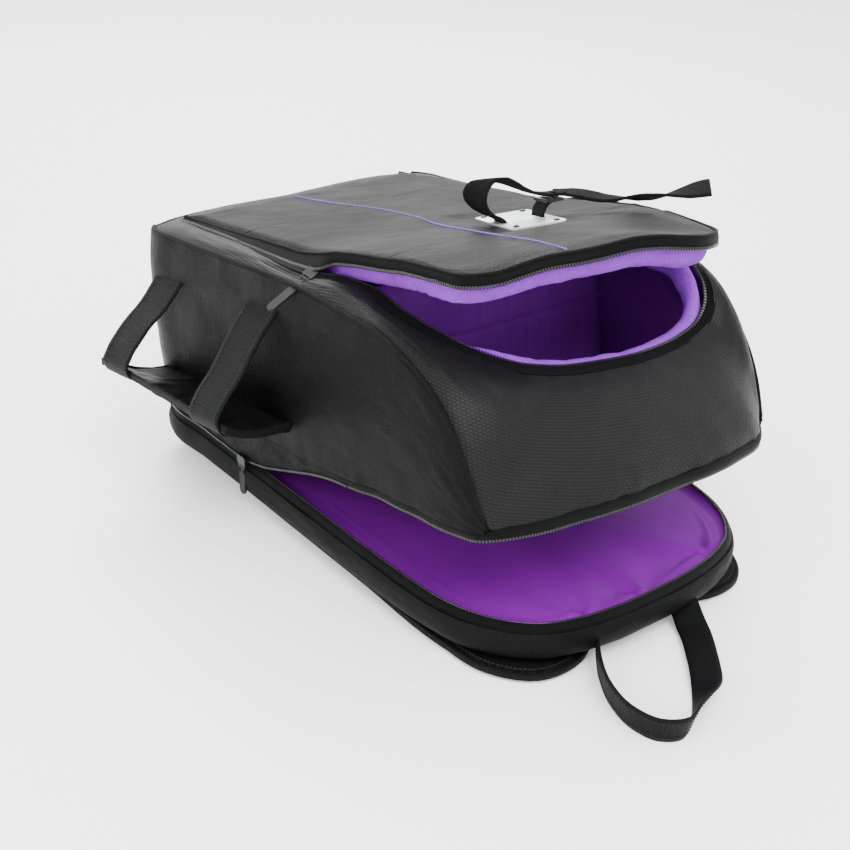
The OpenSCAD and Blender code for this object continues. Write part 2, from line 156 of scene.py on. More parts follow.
def even(p, n, closed=False):
    """n points at even distances along a curve."""
    q = spline(p, max(8 * n, 400), closed)
    t = np.concatenate([[0], np.cumsum(np.linalg.norm(np.diff(q, axis=0), axis=1))])
    x = np.linspace(0, t[-1], n)
    return np.stack([np.interp(x, t, q[:, i]) for i in range(3)], 1)


def length(p):
    return float(np.linalg.norm(np.diff(p, axis=0), axis=1).sum())


def net(p, nu, nv, closed=False):
    a = spline(p, nu, closed)
    return np.swapaxes(spline(np.swapaxes(a, 0, 1), nv), 0, 1)


def noise(shape, cells, seed, octaves=3):
    """Smooth noise over a grid, about -1 to 1."""
    out = np.zeros(shape)
    rng = np.random.default_rng(seed)
    amp = 1.0
    for _ in range(octaves):
        cu, cv = int(cells[0]), int(cells[1])
        lat = rng.uniform(-1, 1, (cu + 2, cv + 2))
        u, v = np.linspace(0, cu, shape[0]), np.linspace(0, cv, shape[1])
        i, j = np.clip(u.astype(int), 0, cu), np.clip(v.astype(int), 0, cv)
        fu, fv = u - i, v - j
        fu, fv = (fu * fu * (3 - 2 * fu))[:, None], (fv * fv * (3 - 2 * fv))[None]
        a, b = lat[np.ix_(i, j)], lat[np.ix_(i + 1, j)]
        c, d = lat[np.ix_(i, j + 1)], lat[np.ix_(i + 1, j + 1)]
        out += amp * ((a * (1 - fu) + b * fu) * (1 - fv) + (c * (1 - fu) + d * fu) * fv)
        amp *= 0.5
        cells = (cells[0] * 2, cells[1] * 2)
    return out / 1.6


def normals(g, closed=False):
    if closed:
        du = np.roll(g, -1, 0) - np.roll(g, 1, 0)
    else:
        du = np.gradient(g, axis=0)
    n = np.cross(du, np.gradient(g, axis=1))
    return n / np.maximum(np.linalg.norm(n, axis=-1, keepdims=True), 1e-9)


def smooth_step(x, a, b):
    t = np.clip((x - a) / (b - a), 0, 1)
    return t * t * (3 - 2 * t)


# ---- Objects ----------------------------------------------------------------------------


def make(name, verts, faces, mat, uv=None, smooth=True):
    """A mesh object from vertices in millimetres."""
    me = bpy.data.meshes.new(name)
    me.from_pydata((np.asarray(verts, float) / 1000).tolist(), [], faces)
    if uv is not None:
        layer = me.uv_layers.new(name="UVMap")
        idx = np.empty(len(me.loops), int)
        me.loops.foreach_get("vertex_index", idx)
        layer.data.foreach_set("uv", np.asarray(uv, np.float32)[idx].ravel())
    me.materials.append(mat)
    me.update()
    me.shade_smooth() if smooth else None
    o = bpy.data.objects.new(name, me)
    bpy.context.scene.collection.objects.link(o)
    return o


def grid_faces(nu, nv, closed=False, at=0):
    i, j = np.meshgrid(np.arange(nu if closed else nu - 1), np.arange(nv - 1), indexing="ij")
    a, b = i * nv + j, ((i + 1) % nu) * nv + j
    return (np.stack([a, b, b + 1, a + 1], -1).reshape(-1, 4) + at)


def grid_uv(g, closed=False):
    du = np.linalg.norm(np.diff(g, axis=0), axis=2)
    dv = np.linalg.norm(np.diff(g, axis=1), axis=2)
    u = np.concatenate([[0], np.cumsum(du.mean(1))])[:, None] + 0 * g[..., 0]
    v = np.concatenate([np.zeros((len(g), 1)), np.cumsum(dv, axis=1)], 1)
    return np.stack([u, v], -1) / 1000


def sheet_mesh(name, g, mat, thick=1.0, closed=False, out=0.0, flip=False):
    """A cloth of the given thickness whose face is the grid g, the other face lying behind it."""
    n = normals(g, closed) * (-1 if flip else 1)
    front, rear = g + n * out, g + n * (out - thick)
    nu, nv = g.shape[:2]
    uv = grid_uv(g).reshape(-1, 2)
    a, b = grid_faces(nu, nv, closed), grid_faces(nu, nv, closed, nu * nv)[:, ::-1]
    rims = []
    for j, sign in ((0, 1), (nv - 1, -1)):
        i = np.arange(nu if closed else nu - 1)
        p, q = i * nv + j, ((i + 1) % nu) * nv + j
        r = np.stack([p, p + nu * nv, q + nu * nv, q], -1)
        rims.append(r if sign > 0 else r[:, ::-1])
    if not closed:
        for i, sign in ((0, -1), (nu - 1, 1)):
            j = np.arange(nv - 1)
            p, q = i * nv + j, i * nv + j + 1
            r = np.stack([p, p + nu * nv, q + nu * nv, q], -1)
            rims.append(r if sign > 0 else r[:, ::-1])
    faces = np.concatenate([a, b] + rims)
    if flip:
        faces = faces[:, ::-1]
    verts = np.concatenate([front.reshape(-1, 3), rear.reshape(-1, 3)])
    return make(name, verts, faces.tolist(), mat, np.concatenate([uv, uv]))


def frames(p, up=(0, 0, 1), closed=False):
    """Tangent, side and up at each point of a curve, the up as near the given one as can be."""
    p = np.asarray(p, float)
    if closed:
        t = np.roll(p, -1, 0) - np.roll(p, 1, 0)
    else:
        t = np.gradient(p, axis=0)
    t /= np.maximum(np.linalg.norm(t, axis=1, keepdims=True), 1e-9)
    up = np.broadcast_to(np.asarray(up, float), p.shape)
    s = np.cross(t, up)
    s /= np.maximum(np.linalg.norm(s, axis=1, keepdims=True), 1e-9)
    return t, s, np.cross(s, t)


def sweep(name, p, profile, mat, up=(0, 0, 1), closed=False, ends=True):
    """A profile of (side, up) points swept along a curve."""
    t, s, u = frames(p, up, closed)
    prof = np.asarray(profile, float)
    g = p[:, None] + s[:, None] * prof[None, :, :1] + u[:, None] * prof[None, :, 1:]
    n, m = len(p), len(prof)
    i, j = np.meshgrid(np.arange(n if closed else n - 1), np.arange(m), indexing="ij")
    a, b = i * m + j, ((i + 1) % n) * m + j
    a1, b1 = i * m + (j + 1) % m, ((i + 1) % n) * m + (j + 1) % m
    faces = np.stack([a, b, b1, a1], -1).reshape(-1, 4).tolist()
    if ends and not closed:
        faces += [list(range(m)), [(n - 1) * m + k for k in range(m - 1, -1, -1)]]
    along = np.concatenate([[0], np.cumsum(np.linalg.norm(np.diff(p, axis=0), axis=1))])
    around = np.concatenate([[0], np.cumsum(np.linalg.norm(np.diff(prof, axis=0), axis=1))])
    uv = np.stack(np.meshgrid(along, around, indexing="ij"), -1).reshape(-1, 2) / 1000
    return make(name, g.reshape(-1, 3), faces, mat, uv)


def rounded(w, h, r=None, n=3):
    """A rounded rectangle profile, w across and h high."""
    r = min(w, h) * 0.45 if r is None else r
    out = []
    for cx, cy, a0 in ((w / 2 - r, h / 2 - r, 0), (-w / 2 + r, h / 2 - r, 90),
                       (-w / 2 + r, -h / 2 + r, 180), (w / 2 - r, -h / 2 + r, 270)):
        for k in range(n + 1):
            a = math.radians(a0 + 90 * k / n)
            out.append((cx + r * math.cos(a), cy + r * math.sin(a)))
    return out


def band(p, width, side):
    """Grid of a flat strap along curve p, its width along the side vectors."""
    s = np.asarray(side, float)
    s = s / np.linalg.norm(s, axis=1, keepdims=True)
    w = np.linspace(-0.5, 0.5, 7) * width
    return p[:, None] + s[:, None] * w[None, :, None]


def stitches(name, p, mat, up, size=(2.6, 0.7, 0.5), pitch=3.6, closed=False):
    """A row of separate sewn stitches along a curve."""
    n = max(2, int(length(p) / pitch))
    q = even(p, n, False)
    ups = np.stack([np.interp(np.linspace(0, 1, n), np.linspace(0, 1, len(p)),
        np.broadcast_to(up, p.shape)[:, i])
                    for i in range(3)], 1)
    t, s, u = frames(q, ups)
    a, b, c = size
    prof = [(-a / 2, -b / 3, -c), (-a / 2, b / 3, -c), (-a / 4, b / 2, c), (-a / 4, -b / 2, c),
            (a / 4, -b / 2, c), (a / 4, b / 2, c), (a / 2, b / 3, -c), (a / 2, -b / 3, -c)]
    prof = np.array(prof)
    v = (q[:, None] + t[:, None] * prof[None, :, :1] + s[:, None] * prof[None, :, 1:2] + u[:, None]
        * prof[None, :, 2:])
    f = np.array([(0, 1, 2, 3), (3, 2, 5, 4), (4, 5, 6, 7), (0, 3, 4, 7), (1, 6, 5, 2)])
    faces = (f[None] + 8 * np.arange(n)[:, None, None]).reshape(-1, 4)
    return make(name, v.reshape(-1, 3), faces.tolist(), mat)


# ---- Materials --------------------------------------------------------------------------


class Nodes:
    """A material's node tree, with short calls for the nodes used here."""

    def __init__(self, name, colour, rough=0.5, **sockets):
        self.m = bpy.data.materials.new(name)
        self.m.use_nodes = True
        self.t = self.m.node_tree
        self.t.nodes.clear()
        self.b = self.t.nodes.new("ShaderNodeBsdfPrincipled")
        out = self.t.nodes.new("ShaderNodeOutputMaterial")
        self.t.links.new(self.b.outputs[0], out.inputs[0])
        self.b.inputs["Base Color"].default_value = (*colour, 1)
        self.b.inputs["Roughness"].default_value = rough
        for k, v in sockets.items():
            self.b.inputs[k.replace("_", " ")].default_value = v
        self.colour = colour
        self.height = None

    def node(self, kind, **inputs):
        n = self.t.nodes.new("ShaderNode" + kind)
        for k, v in inputs.items():
            s = n.inputs[k] if not k.startswith("i") else n.inputs[int(k[1:])]
            if isinstance(v, bpy.types.NodeSocket):
                self.t.links.new(v, s)
            else:
                s.default_value = v
        return n

    def coords(self, kind="Object"):
        return self.node("TexCoord").outputs[kind]

    def scaled(self, v, s):
        n = self.node("Mapping", Vector=v)
        n.inputs["Scale"].default_value = s
        return n.outputs[0]

    def noise(self, v, scale, detail=3.0, rough=0.5):
        return self.node("TexNoise", Vector=v, Scale=scale, Detail=detail, Roughness=rough).outputs[0]

    def voronoi(self, v, scale, feature="F1", rand=1.0):
        n = self.node("TexVoronoi", Vector=v, Scale=scale, Randomness=rand)
        n.feature = feature
        return n.outputs["Distance"]

    def math(self, op, a, b=0.0, clamp=False):
        n = self.node("Math", i0=a, i1=b)
        n.operation = op
        n.use_clamp = clamp
        return n.outputs[0]

    def spread(self, x, a, b, c=0.0, d=1.0):
        return self.node("MapRange", i0=x, i1=a, i2=b, i3=c, i4=d).outputs[0]

    def tint(self, fac, dark, light):
        """Base colour between two factors of the material's colour."""
        n = self.node("ValToRGB", Fac=fac)
        n.color_ramp.elements[0].color = (*[c * dark for c in self.colour], 1)
        n.color_ramp.elements[1].color = (*[min(1, c * light) for c in self.colour], 1)
        self.t.links.new(n.outputs[0], self.b.inputs["Base Color"])
        return n

    def bump(self, height, distance=0.0005, strength=1.0):
        n = self.node("Bump", Strength=strength, Distance=distance, Height=height)
        if self.height is not None:
            self.t.links.new(self.height, n.inputs["Normal"])
        self.height = n.outputs[0]
        self.t.links.new(self.height, self.b.inputs["Normal"])

    def rough(self, fac, a, b):
        self.t.links.new(self.spread(fac, 0, 1, a, b), self.b.inputs["Roughness"])


def coated_fabric(name, colour=(0.0018, 0.0018, 0.002), grain=620, rough=0.42):
    m = Nodes(name, colour, rough, Specular_IOR_Level=0.035, Sheen_Weight=0.001, Sheen_Roughness=0.4)
    v = m.coords()
    cells = m.voronoi(v, grain)
    fine = m.noise(v, grain * 2.4, 3)
    wear = m.noise(v, 9, 4)
    m.tint(m.math("ADD", m.math("MULTIPLY", cells, 0.6), m.math("MULTIPLY", wear, 0.5)), 0.68, 1.45)
    m.rough(wear, rough - 0.1, rough + 0.16)
    m.bump(m.noise(v, 26, 3), 0.0016, 0.35)
    m.bump(m.math("ADD", m.spread(cells, 0.0, 0.75, 1, 0), m.math("MULTIPLY", fine, 0.25)), 0.00045, 0.8)
    return m.m


def embossed_fabric(name):
    """Coated cloth pressed with staggered rows of small cells."""
    m = Nodes(name, (0.0022, 0.0022, 0.0024), 0.34, Specular_IOR_Level=0.13, Sheen_Weight=0.001,
        Sheen_Roughness=0.4)
    uv = m.coords("UV")
    brick = m.node("TexBrick", Vector=uv, Scale=1.0, i1=(0, 0, 0, 1), i2=(0, 0, 0, 1), i3=(1, 1, 1, 1))
    brick.inputs["Mortar Size"].default_value = 0.00055
    brick.inputs["Mortar Smooth"].default_value = 0.6
    brick.inputs["Brick Width"].default_value = 0.0038
    brick.inputs["Row Height"].default_value = 0.0027
    v = m.coords()
    groove = brick.outputs["Fac"]
    wear = m.noise(v, 8, 4)
    # Painted shade and painted highlight: the pressed grooves are darkened and the raised cells lightened, on top
    # of random tone from the wear noise.
    m.tint(m.math("SUBTRACT", m.math("MULTIPLY", wear, 1.1), m.math("MULTIPLY", groove, 0.6), True), 0.25,
        2.4)
    m.rough(wear, 0.38, 0.6)
    m.bump(m.noise(v, 22, 3), 0.0018, 0.35)
    m.bump(m.spread(groove, 0, 1, 1, 0), 0.0009, 1.0)
    m.bump(m.noise(v, 1500, 2), 0.00012, 0.5)
    return m.m


def webbing_cloth(name, colour=(0.002, 0.002, 0.0022), pitch=0.0021):
    """Ribbed webbing, the ribs across the strap's length."""
    m = Nodes(name, colour, 0.55, Specular_IOR_Level=0.05, Sheen_Weight=0.002, Sheen_Roughness=0.5)
    uv = m.coords("UV")
    sep = m.node("SeparateXYZ", Vector=uv)
    ribs = m.math("SINE", m.math("MULTIPLY", sep.outputs[0], 2 * math.pi / pitch))
    cross = m.math("SINE", m.math("MULTIPLY", sep.outputs[1], 2 * math.pi / (pitch * 0.72)))
    weave = m.math("ADD", m.math("MULTIPLY", ribs, 0.5),
        m.math("MULTIPLY", m.math("MULTIPLY", ribs, cross), 0.35))
    fuzz = m.noise(m.coords(), 900, 3)
    m.tint(m.spread(m.math("ADD", weave, m.math("MULTIPLY", fuzz, 0.5)), -0.6, 1.2), 0.5, 2.1)
    m.bump(weave, 0.0005, 0.8)
    m.bump(fuzz, 0.0003, 0.5)
    return m.m


def satin(name, colour=(0.095, 0.002, 0.155)):
    m = Nodes(name, colour, 0.4, Specular_IOR_Level=0.04, Sheen_Weight=0.002, Sheen_Roughness=0.35,
              Sheen_Tint=(0.7, 0.3, 1, 1), Anisotropic=0.4)
    v = m.coords()
    broad = m.noise(m.scaled(v, (1, 0.45, 1)), 14, 3)
    weave = m.math("SINE", m.math("MULTIPLY", m.node("SeparateXYZ", Vector=v).outputs[1], 2
        * math.pi / 0.0006))
    m.tint(broad, 0.72, 1.35)
    m.rough(broad, 0.34, 0.48)
    m.bump(broad, 0.004, 0.3)
    m.bump(m.math("ADD", m.math("MULTIPLY", weave, 0.3), m.noise(m.scaled(v, (1, 6, 1)), 700, 2)), 0.00008,
        0.6)
    return m.m


def lining_cloth(name, colour=(0.066, 0.003, 0.125)):
    m = Nodes(name, colour, 0.55, Specular_IOR_Level=0.07, Sheen_Weight=0.005, Sheen_Roughness=0.4,
        Sheen_Tint=(0.6, 0.25, 1, 1))
    v = m.coords()
    big = m.noise(m.scaled(v, (1, 1, 0.4)), 24, 4)
    m.tint(m.noise(v, 12, 3), 0.6, 1.5)
    m.bump(big, 0.005, 0.4)
    m.bump(m.noise(v, 1500, 2), 0.00015, 0.6)
    return m.m


def fleece_cloth(name, colour=(0.13, 0.022, 0.27)):
    m = Nodes(name, colour, 0.85, Specular_IOR_Level=0.06, Sheen_Weight=0.03, Sheen_Roughness=0.55,
        Sheen_Tint=(0.75, 0.5, 1, 1))
    v = m.coords()
    pile = m.noise(v, 420, 4, 0.65)
    blot = m.noise(v, 60, 4)
    m.tint(m.math("ADD", m.math("MULTIPLY", pile, 0.6), m.math("MULTIPLY", blot, 0.4)), 0.4, 1.75)
    m.bump(blot, 0.0022, 0.5)
    m.bump(pile, 0.0010, 0.9)
    return m.m


def fuzzy_tape(name):
    m = Nodes(name, (0.003, 0.003, 0.0033), 0.9, Specular_IOR_Level=0.04, Sheen_Weight=0.01,
        Sheen_Roughness=0.6)
    v = m.coords()
    loops = m.noise(v, 850, 4, 0.7)
    m.tint(loops, 0.35, 2.2)
    m.bump(loops, 0.0014, 1.0)
    return m.m


def air_mesh(name, colour=(0.0026, 0.0026, 0.0029)):
    m = Nodes(name, colour, 0.7, Specular_IOR_Level=0.05, Sheen_Weight=0.002, Sheen_Roughness=0.5)
    v = m.coords()
    holes = m.voronoi(m.scaled(v, (1, 0.72, 1)), 260, rand=0.12)
    open_ = m.spread(holes, 0.25, 0.5, 0, 1)
    m.tint(m.math("MULTIPLY", open_, m.spread(m.noise(v, 900, 2), 0.3, 0.7, 0.7, 1)), 0.25, 1.9)
    m.bump(open_, 0.0012, 0.9)
    m.bump(m.noise(v, 20, 3), 0.002, 0.3)
    return m.m


def moulded(name, colour, rough=0.42, **k):
    m = Nodes(name, colour, rough, Specular_IOR_Level=0.22, **k)
    v = m.coords()
    m.tint(m.noise(v, 60, 4), 0.75, 1.4)
    m.rough(m.noise(v, 140, 3), rough - 0.12, rough + 0.12)
    m.bump(m.noise(v, 1300, 3), 0.00012, 0.5)
    return m.m


def brushed_plate(name):
    m = Nodes(name, (0.78, 0.79, 0.8), 0.34, Metallic=0.85, Specular_IOR_Level=0.5, Anisotropic=0.5)
    v = m.coords()
    lines = m.noise(m.scaled(v, (1, 0.03, 1)), 2600, 3)
    m.tint(m.math("ADD", m.math("MULTIPLY", lines, 0.5), m.math("MULTIPLY", m.noise(v, 35, 3), 0.5)), 0.82,
        1.15)
    m.rough(lines, 0.26, 0.46)
    m.bump(lines, 0.00008, 0.5)
    return m.m


def thread(name, colour):
    m = Nodes(name, colour, 0.6, Specular_IOR_Level=0.12, Sheen_Weight=0.01)
    v = m.coords()
    m.tint(m.noise(v, 900, 2), 0.6, 1.5)
    m.bump(m.noise(v, 2500, 2), 0.0002, 0.6)
    return m.m


LEATHER = coated_fabric("coated_cloth")
SIDE = coated_fabric("coated_cloth_side", (0.002, 0.002, 0.0022), 700, 0.4)
SLAB = coated_fabric("back_wall_cloth", (0.0026, 0.0026, 0.0028), 900, 0.48)
EMBOSSED = embossed_fabric("embossed_cloth")
WEBBING = webbing_cloth("webbing_cloth")
BINDING = webbing_cloth("binding_cloth", (0.0022, 0.0022, 0.0024), 0.0014)
SATIN = satin("satin_cloth")
LINING = lining_cloth("lining_cloth")
DIVIDER = lining_cloth("divider_cloth", (0.1, 0.007, 0.19))
FLEECE = fleece_cloth("fleece_cloth")
FUZZY = fuzzy_tape("hook_and_loop")
MESH = air_mesh("air_mesh")
TAPE = webbing_cloth("zip_tape", (0.0013, 0.0013, 0.0015), 0.0009)
# The coil is coloured lighter than its black plastic: painted highlight standing in for the teeth's glints, on
# top of their real gloss.
TEETH_LIGHTENED_FOR_GLINT = moulded("zip_coil", (0.012, 0.012, 0.0125), 0.24)
SLIDER = moulded("lacquered_slider", (0.005, 0.005, 0.0055), 0.3, Metallic=0.2, Coat_Weight=0.15)
RUBBER = moulded("pull_rubber", (0.0028, 0.0028, 0.003), 0.5)
PLASTIC = moulded("black_plastic", (0.004, 0.004, 0.0045), 0.34)
PLATE = brushed_plate("brushed_aluminium")
SCREW = moulded("black_screws", (0.02, 0.02, 0.022), 0.3, Metallic=0.8)
THREAD_DARK = thread("dark_thread", (0.006, 0.006, 0.0066))
THREAD_PURPLE = thread("purple_thread", (0.13, 0.05, 0.3))

# ---- Finished pieces: riding, and what they stand for ----------------------------------------


def piece(o, rides, slot, *replaces):
    """A finished piece rides on one body; given (body, body, start, end) instead, it only has its transform baked
    in.
    """
    if isinstance(rides, str):
        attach(o, rides)
    else:
        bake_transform(o)
    if replaces:
        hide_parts(*replaces)
    return o


def mirrored(p):
    return [(-x, y, z) for x, y, z in p]


# ---- Main body: walls, front band and top end ------------------------------------------------

TAPE_H = 8.0
WALL_LOW = [(-151, -224, 0), (-157, -208, 0), (-160, -188, 0), (-161, -165, 0), (-161, -140, 0),
    (-161, -112, 0),
            (-161, -68, 0), (-160, -8, 0), (-160, 100, 0), (-160, 190, 0), (-160, 236, 0), (-153, 253, 0),
            (-138, 260, 0)]
SEAM = [(-153, -222, 10), (-157, -213, 45), (-158, -199, 77), (-158, -173, 108), (-158, -145, 126),
        (-158, -116, 139), (-158, -70, 147), (-158, -9, 157), (-159, 100, 164), (-160, 190, 169),
        (-159, 230, 171), (-153, 243, 172), (-138, 248, 173)]
LOW = WALL_LOW + [(0, 261, 0)] + mirrored(WALL_LOW)[::-1]
TOP = SEAM + [(0, 251, 174)] + mirrored(SEAM)[::-1]


def near_lift(p, amount):
    """The near right corner stands a little further out than the near left one."""
    p = np.array(p, float)
    p[..., 1] -= amount * smooth_step(p[..., 0], 60, 150) * smooth_step(-p[..., 1], 90, 200)
    return p


def wall_net(inset=0.0, low=TAPE_H, bulge=4.5):
    b, t = near_lift(LOW, 4), near_lift(TOP, 4)
    out = b - np.array([0, 20, 0])
    out[:, 2] = 0
    out = np.sign(out) * np.abs(out / np.array([160, 240, 1])) ** 6
    out /= np.maximum(np.linalg.norm(out, axis=1, keepdims=True), 1e-6)
    rows = []
    tall = np.clip((t[:, 2] - low) / 90, 0, 1)[:, None]
    for k, lift in ((0, 0.0), (0.12, 0.45), (0.35, 0.95), (0.65, 1.0), (0.9, 0.5), (1, 0.0)):
        z = low + (t[:, 2] - low) * k
        f = (z / np.maximum(t[:, 2], 1))[:, None]
        p = b * (1 - f) + t * f + out * (lift * bulge * tall - inset)
        p[:, 2] = z
        rows.append(p)
    return np.stack(rows, 1)


wall = net(wall_net(), 420, 64)
n = normals(wall)
along = np.linspace(0, 1, 420)[:, None]
up = np.linspace(0, 1, 64)[None]
near_side = np.exp(-((along - 0.12) / 0.1) ** 2) + np.exp(-((along - 0.88) / 0.1) ** 2)
wrinkle = noise((420, 64), (26, 5), 3, 3) * (1.0 + 1.1 * near_side)
pucker = noise((420, 64), (90, 2), 5, 2) * np.exp(-up / 0.14) * 1.0 + noise((420, 64), (80, 2), 6,
    2) * np.exp(-(1 - up) / 0.12) * 0.8
dent = -3.2 * np.exp(-((along - 0.2) / 0.05) ** 2 - ((up - 0.35) / 0.3) ** 2)
wall += n * (wrinkle + pucker + dent)[..., None]
LEFT_END, RIGHT_END = 188, 232
o = sheet_mesh("side_wall_left", body(wall[:LEFT_END]), SIDE, 3.0)
piece(o, "main_body", "outer_fabric", "side_panel_left")
o = sheet_mesh("bottom_end", body(wall[LEFT_END - 1:RIGHT_END + 1]), LEATHER, 3.0)
piece(o, "main_body", "outer_fabric", "bottom_end_panel")
o = sheet_mesh("side_wall_right", body(wall[RIGHT_END:]), SIDE, 3.0)
piece(o, "main_body", "outer_fabric", "side_panel_right")

# The band round the front opening and the top end panel are one continuous cloth.
# Each station is (edge of the opening, seam or bottom edge, how far it stands out, and which way)
STATIONS = [
    ((-129, 218, 176.5), (-153, 243, 172), 1.5, (-0.3, 0.3, 1)),
    ((-133, 200, 175.8), (-159, 230, 171), 2.5, (-0.3, 0, 1)),
    ((-136, 170, 174.8), (-160, 190, 169), 3, (-0.3, 0, 1)),
    ((-140, 95, 171.5), (-159, 100, 164), 3, (-0.3, 0, 1)),
    ((-144, -8, 165.4), (-158, -9, 157), 0.8, (-0.3, 0, 1)),
    ((-138, -38, 163), (-158, -38, 152.5), 3.5, (-0.3, 0, 1)),
    ((-131, -66, 157), (-158, -70, 147), 4, (-0.3, 0, 1)),
    ((-130, -98, 146), (-158, -116, 139), 5, (-0.4, -0.2, 1)),
    ((-125, -127, 136), (-158, -145, 126), 6, (-0.4, -0.4, 0.9)),
    ((-114, -155, 125), (-158, -173, 108), 8, (-0.3, -0.7, 0.7)),
    ((-98, -177, 115), (-158, -199, 77), 11, (-0.2, -0.85, 0.5)),
    ((-80, -189, 107), (-157, -213, 45), 13, (-0.1, -0.9, 0.45)),
    ((-62, -194, 102), (-153, -222, 12), 13, (-0.1, -0.9, 0.4)),
    ((-44, -197, 98), (-127, -235, TAPE_H), 12, (0, -0.9, 0.4)),
    ((-22, -199, 95), (-80, -246, TAPE_H), 11, (0, -0.9, 0.4)),
    ((4, -200, 92), (-30, -254, TAPE_H), 10, (0, -0.9, 0.4)),
    ((32, -202, 90), (36, -256, TAPE_H), 10, (0, -0.9, 0.4)),
    ((62, -202, 90), (88, -254, TAPE_H), 10, (0, -0.9, 0.4)),
    ((92, -201, 93), (128, -246, TAPE_H), 11, (0, -0.9, 0.4)),
    ((114, -200, 101), (152, -228, 12), 11, (0.1, -0.9, 0.4)),
    ((126, -197, 113), (157, -217, 45), 10, (0.2, -0.9, 0.5)),
    ((131, -191, 127), (158, -203, 77), 8, (0.3, -0.8, 0.6)),
    ((132, -180, 140), (158, -177, 108), 7, (0.4, -0.5, 0.8)),
    ((132, -160, 150), (158, -148, 126), 6, (0.4, -0.3, 0.9)),
    ((131, -120, 157), (158, -117, 139), 5, (0.3, -0.1, 1)),
    ((131, -64, 164), (158, -70, 147), 4, (0.3, 0, 1)),
    ((138, -38, 165), (158, -38, 152.5), 3.5, (0.3, 0, 1)),
    ((144, -8, 165.4), (158, -9, 157), 0.8, (0.3, 0, 1)),
    ((140, 95, 171.5), (159, 100, 164), 3, (0.3, 0, 1)),
    ((136, 170, 174.8), (160, 190, 169), 3, (0.3, 0, 1)),
    ((133, 200, 175.8), (159, 230, 171), 2.5, (0.3, 0, 1)),
    ((129, 218, 176.5), (153, 243, 172), 1.5, (0.3, 0.3, 1)),
    ((115, 222, 177), (138, 248, 173), 1.5, (0, 0.4, 1)),
    ((0, 224, 178), (0, 251, 174), 1.5, (0, 0.4, 1)),
    ((-115, 222, 177), (-138, 248, 173), 1.5, (0, 0.4, 1)),
]
INNER = np.array([s[0] for s in STATIONS], float)
OUTER = np.array([s[1] for s in STATIONS], float)


def front_net():
    rows = []
    stand = np.array([s[2] for s in STATIONS])[:, None]
    way = np.array([s[3] for s in STATIONS], float)
    way /= np.linalg.norm(way, axis=1, keepdims=True)
    for k, lift in ((0, 0), (0.16, 0.62), (0.4, 1.0), (0.7, 0.85), (0.92, 0.35), (1, 0)):
        rows.append(INNER * (1 - k) + OUTER * k + way * stand * lift)
    return np.stack(rows, 1)


NF = 560
front = net(front_net(), NF, 60, closed=True)
n = normals(front, True)
s = np.linspace(0, 1, NF)[:, None]
up = np.linspace(0, 1, 60)[None]
end_part = np.exp(-((s - 0.43) / 0.1) ** 4)
wrinkle = noise((NF, 60), (34, 4), 11, 3) * 0.9
wrinkle[:40] *= np.linspace(0, 1, 40)[:, None]
wrinkle[-40:] *= np.linspace(1, 0, 40)[:, None]
low_pucker = noise((NF, 60), (120, 2), 12, 2) * np.exp(-(1 - up) / 0.1) * 2.0 * end_part
edge_pucker = noise((NF, 60), (140, 2), 13, 2) * np.exp(-up / 0.18) * 0.7
for a in (low_pucker, edge_pucker):
    a[:40] *= np.linspace(0, 1, 40)[:, None]
    a[-40:] *= np.linspace(1, 0, 40)[:, None]
front -= n * (wrinkle + low_pucker + edge_pucker)[..., None]
o = sheet_mesh("front_and_top_end", body(front), EMBOSSED, 3.0, closed=True, flip=True)
piece(o, "main_body", "end_fabric", "top_end_panel", "front_rim")

# Piping along the seams
for side, sign in (("left", 1), ("right", -1)):
    p = body(near_lift(np.array([(sign * x, y, z) for x, y, z in SEAM[:12]], float), 4))
    p = even(p, 320)
    p += np.array([-sign * 1.0, -0.4, 0.9])
    prof = [(2.3 * math.cos(a), 2.2 * math.sin(a)) for a in np.linspace(0, 2 * math.pi, 11)[:-1]]
    o = sweep(f"seam_piping_{side}", p, prof, BINDING, up=(-sign, -0.4, 0.6))
    piece(o, "main_body", "webbing", f"side_piping_{side}")


# ---- Zips ---------------------------------------------------------------------------------


# Opening zip, main body side
inner = even(INNER, 900, closed=True)
far = (inner[:, 1] > 214)
start = int(np.argmax(~far))
inner = np.roll(inner, -start, 0)
inner = inner[:int(np.argmax(inner[:, 1] > 214.5)) or 900]
# The tape carries on from the band's surface, so it points inwards and a little down
horizontal = np.stack([np.clip(-inner[:, 0] / 130, -1, 1), smooth_step(-inner[:, 1], 120, 190), 0
    * inner[:, 0]], 1)
horizontal /= np.maximum(np.linalg.norm(horizontal, axis=1, keepdims=True), 1e-6)
tape_dir = horizontal.copy()
tape_dir[:, 2] = 0.28 + 0.25 * smooth_step(-inner[:, 1], 120, 190)
tape_dir /= np.linalg.norm(tape_dir, axis=1, keepdims=True)
for i in range(3):
    tape_dir[:, i] = np.convolve(np.pad(tape_dir[:, i], 12, mode="edge"), np.ones(25) / 25, "valid")
CLOSED_W = smooth_step(inner[:, 1], -34, -8)
WIDTH = 6.4 - 3.1 * CLOSED_W
tape_dir[:, 2] = tape_dir[:, 2] * (1 - 0.5 * CLOSED_W)
k = np.linspace(0, 1, 7)
g = inner[:, None] + tape_dir[:, None] * (-2.2 + (WIDTH[:, None] + 2.2) * k[None])[..., None]
o = sheet_mesh("front_zip_tape", body(g), TAPE, 1.3, out=0.9, flip=True)
piece(o, "main_body", "zip", "front_zip_lower")
edge = inner + tape_dir * WIDTH[:, None]
up_vec = np.cross(np.gradient(edge, axis=0), tape_dir)
up_vec /= np.linalg.norm(up_vec, axis=1, keepdims=True)


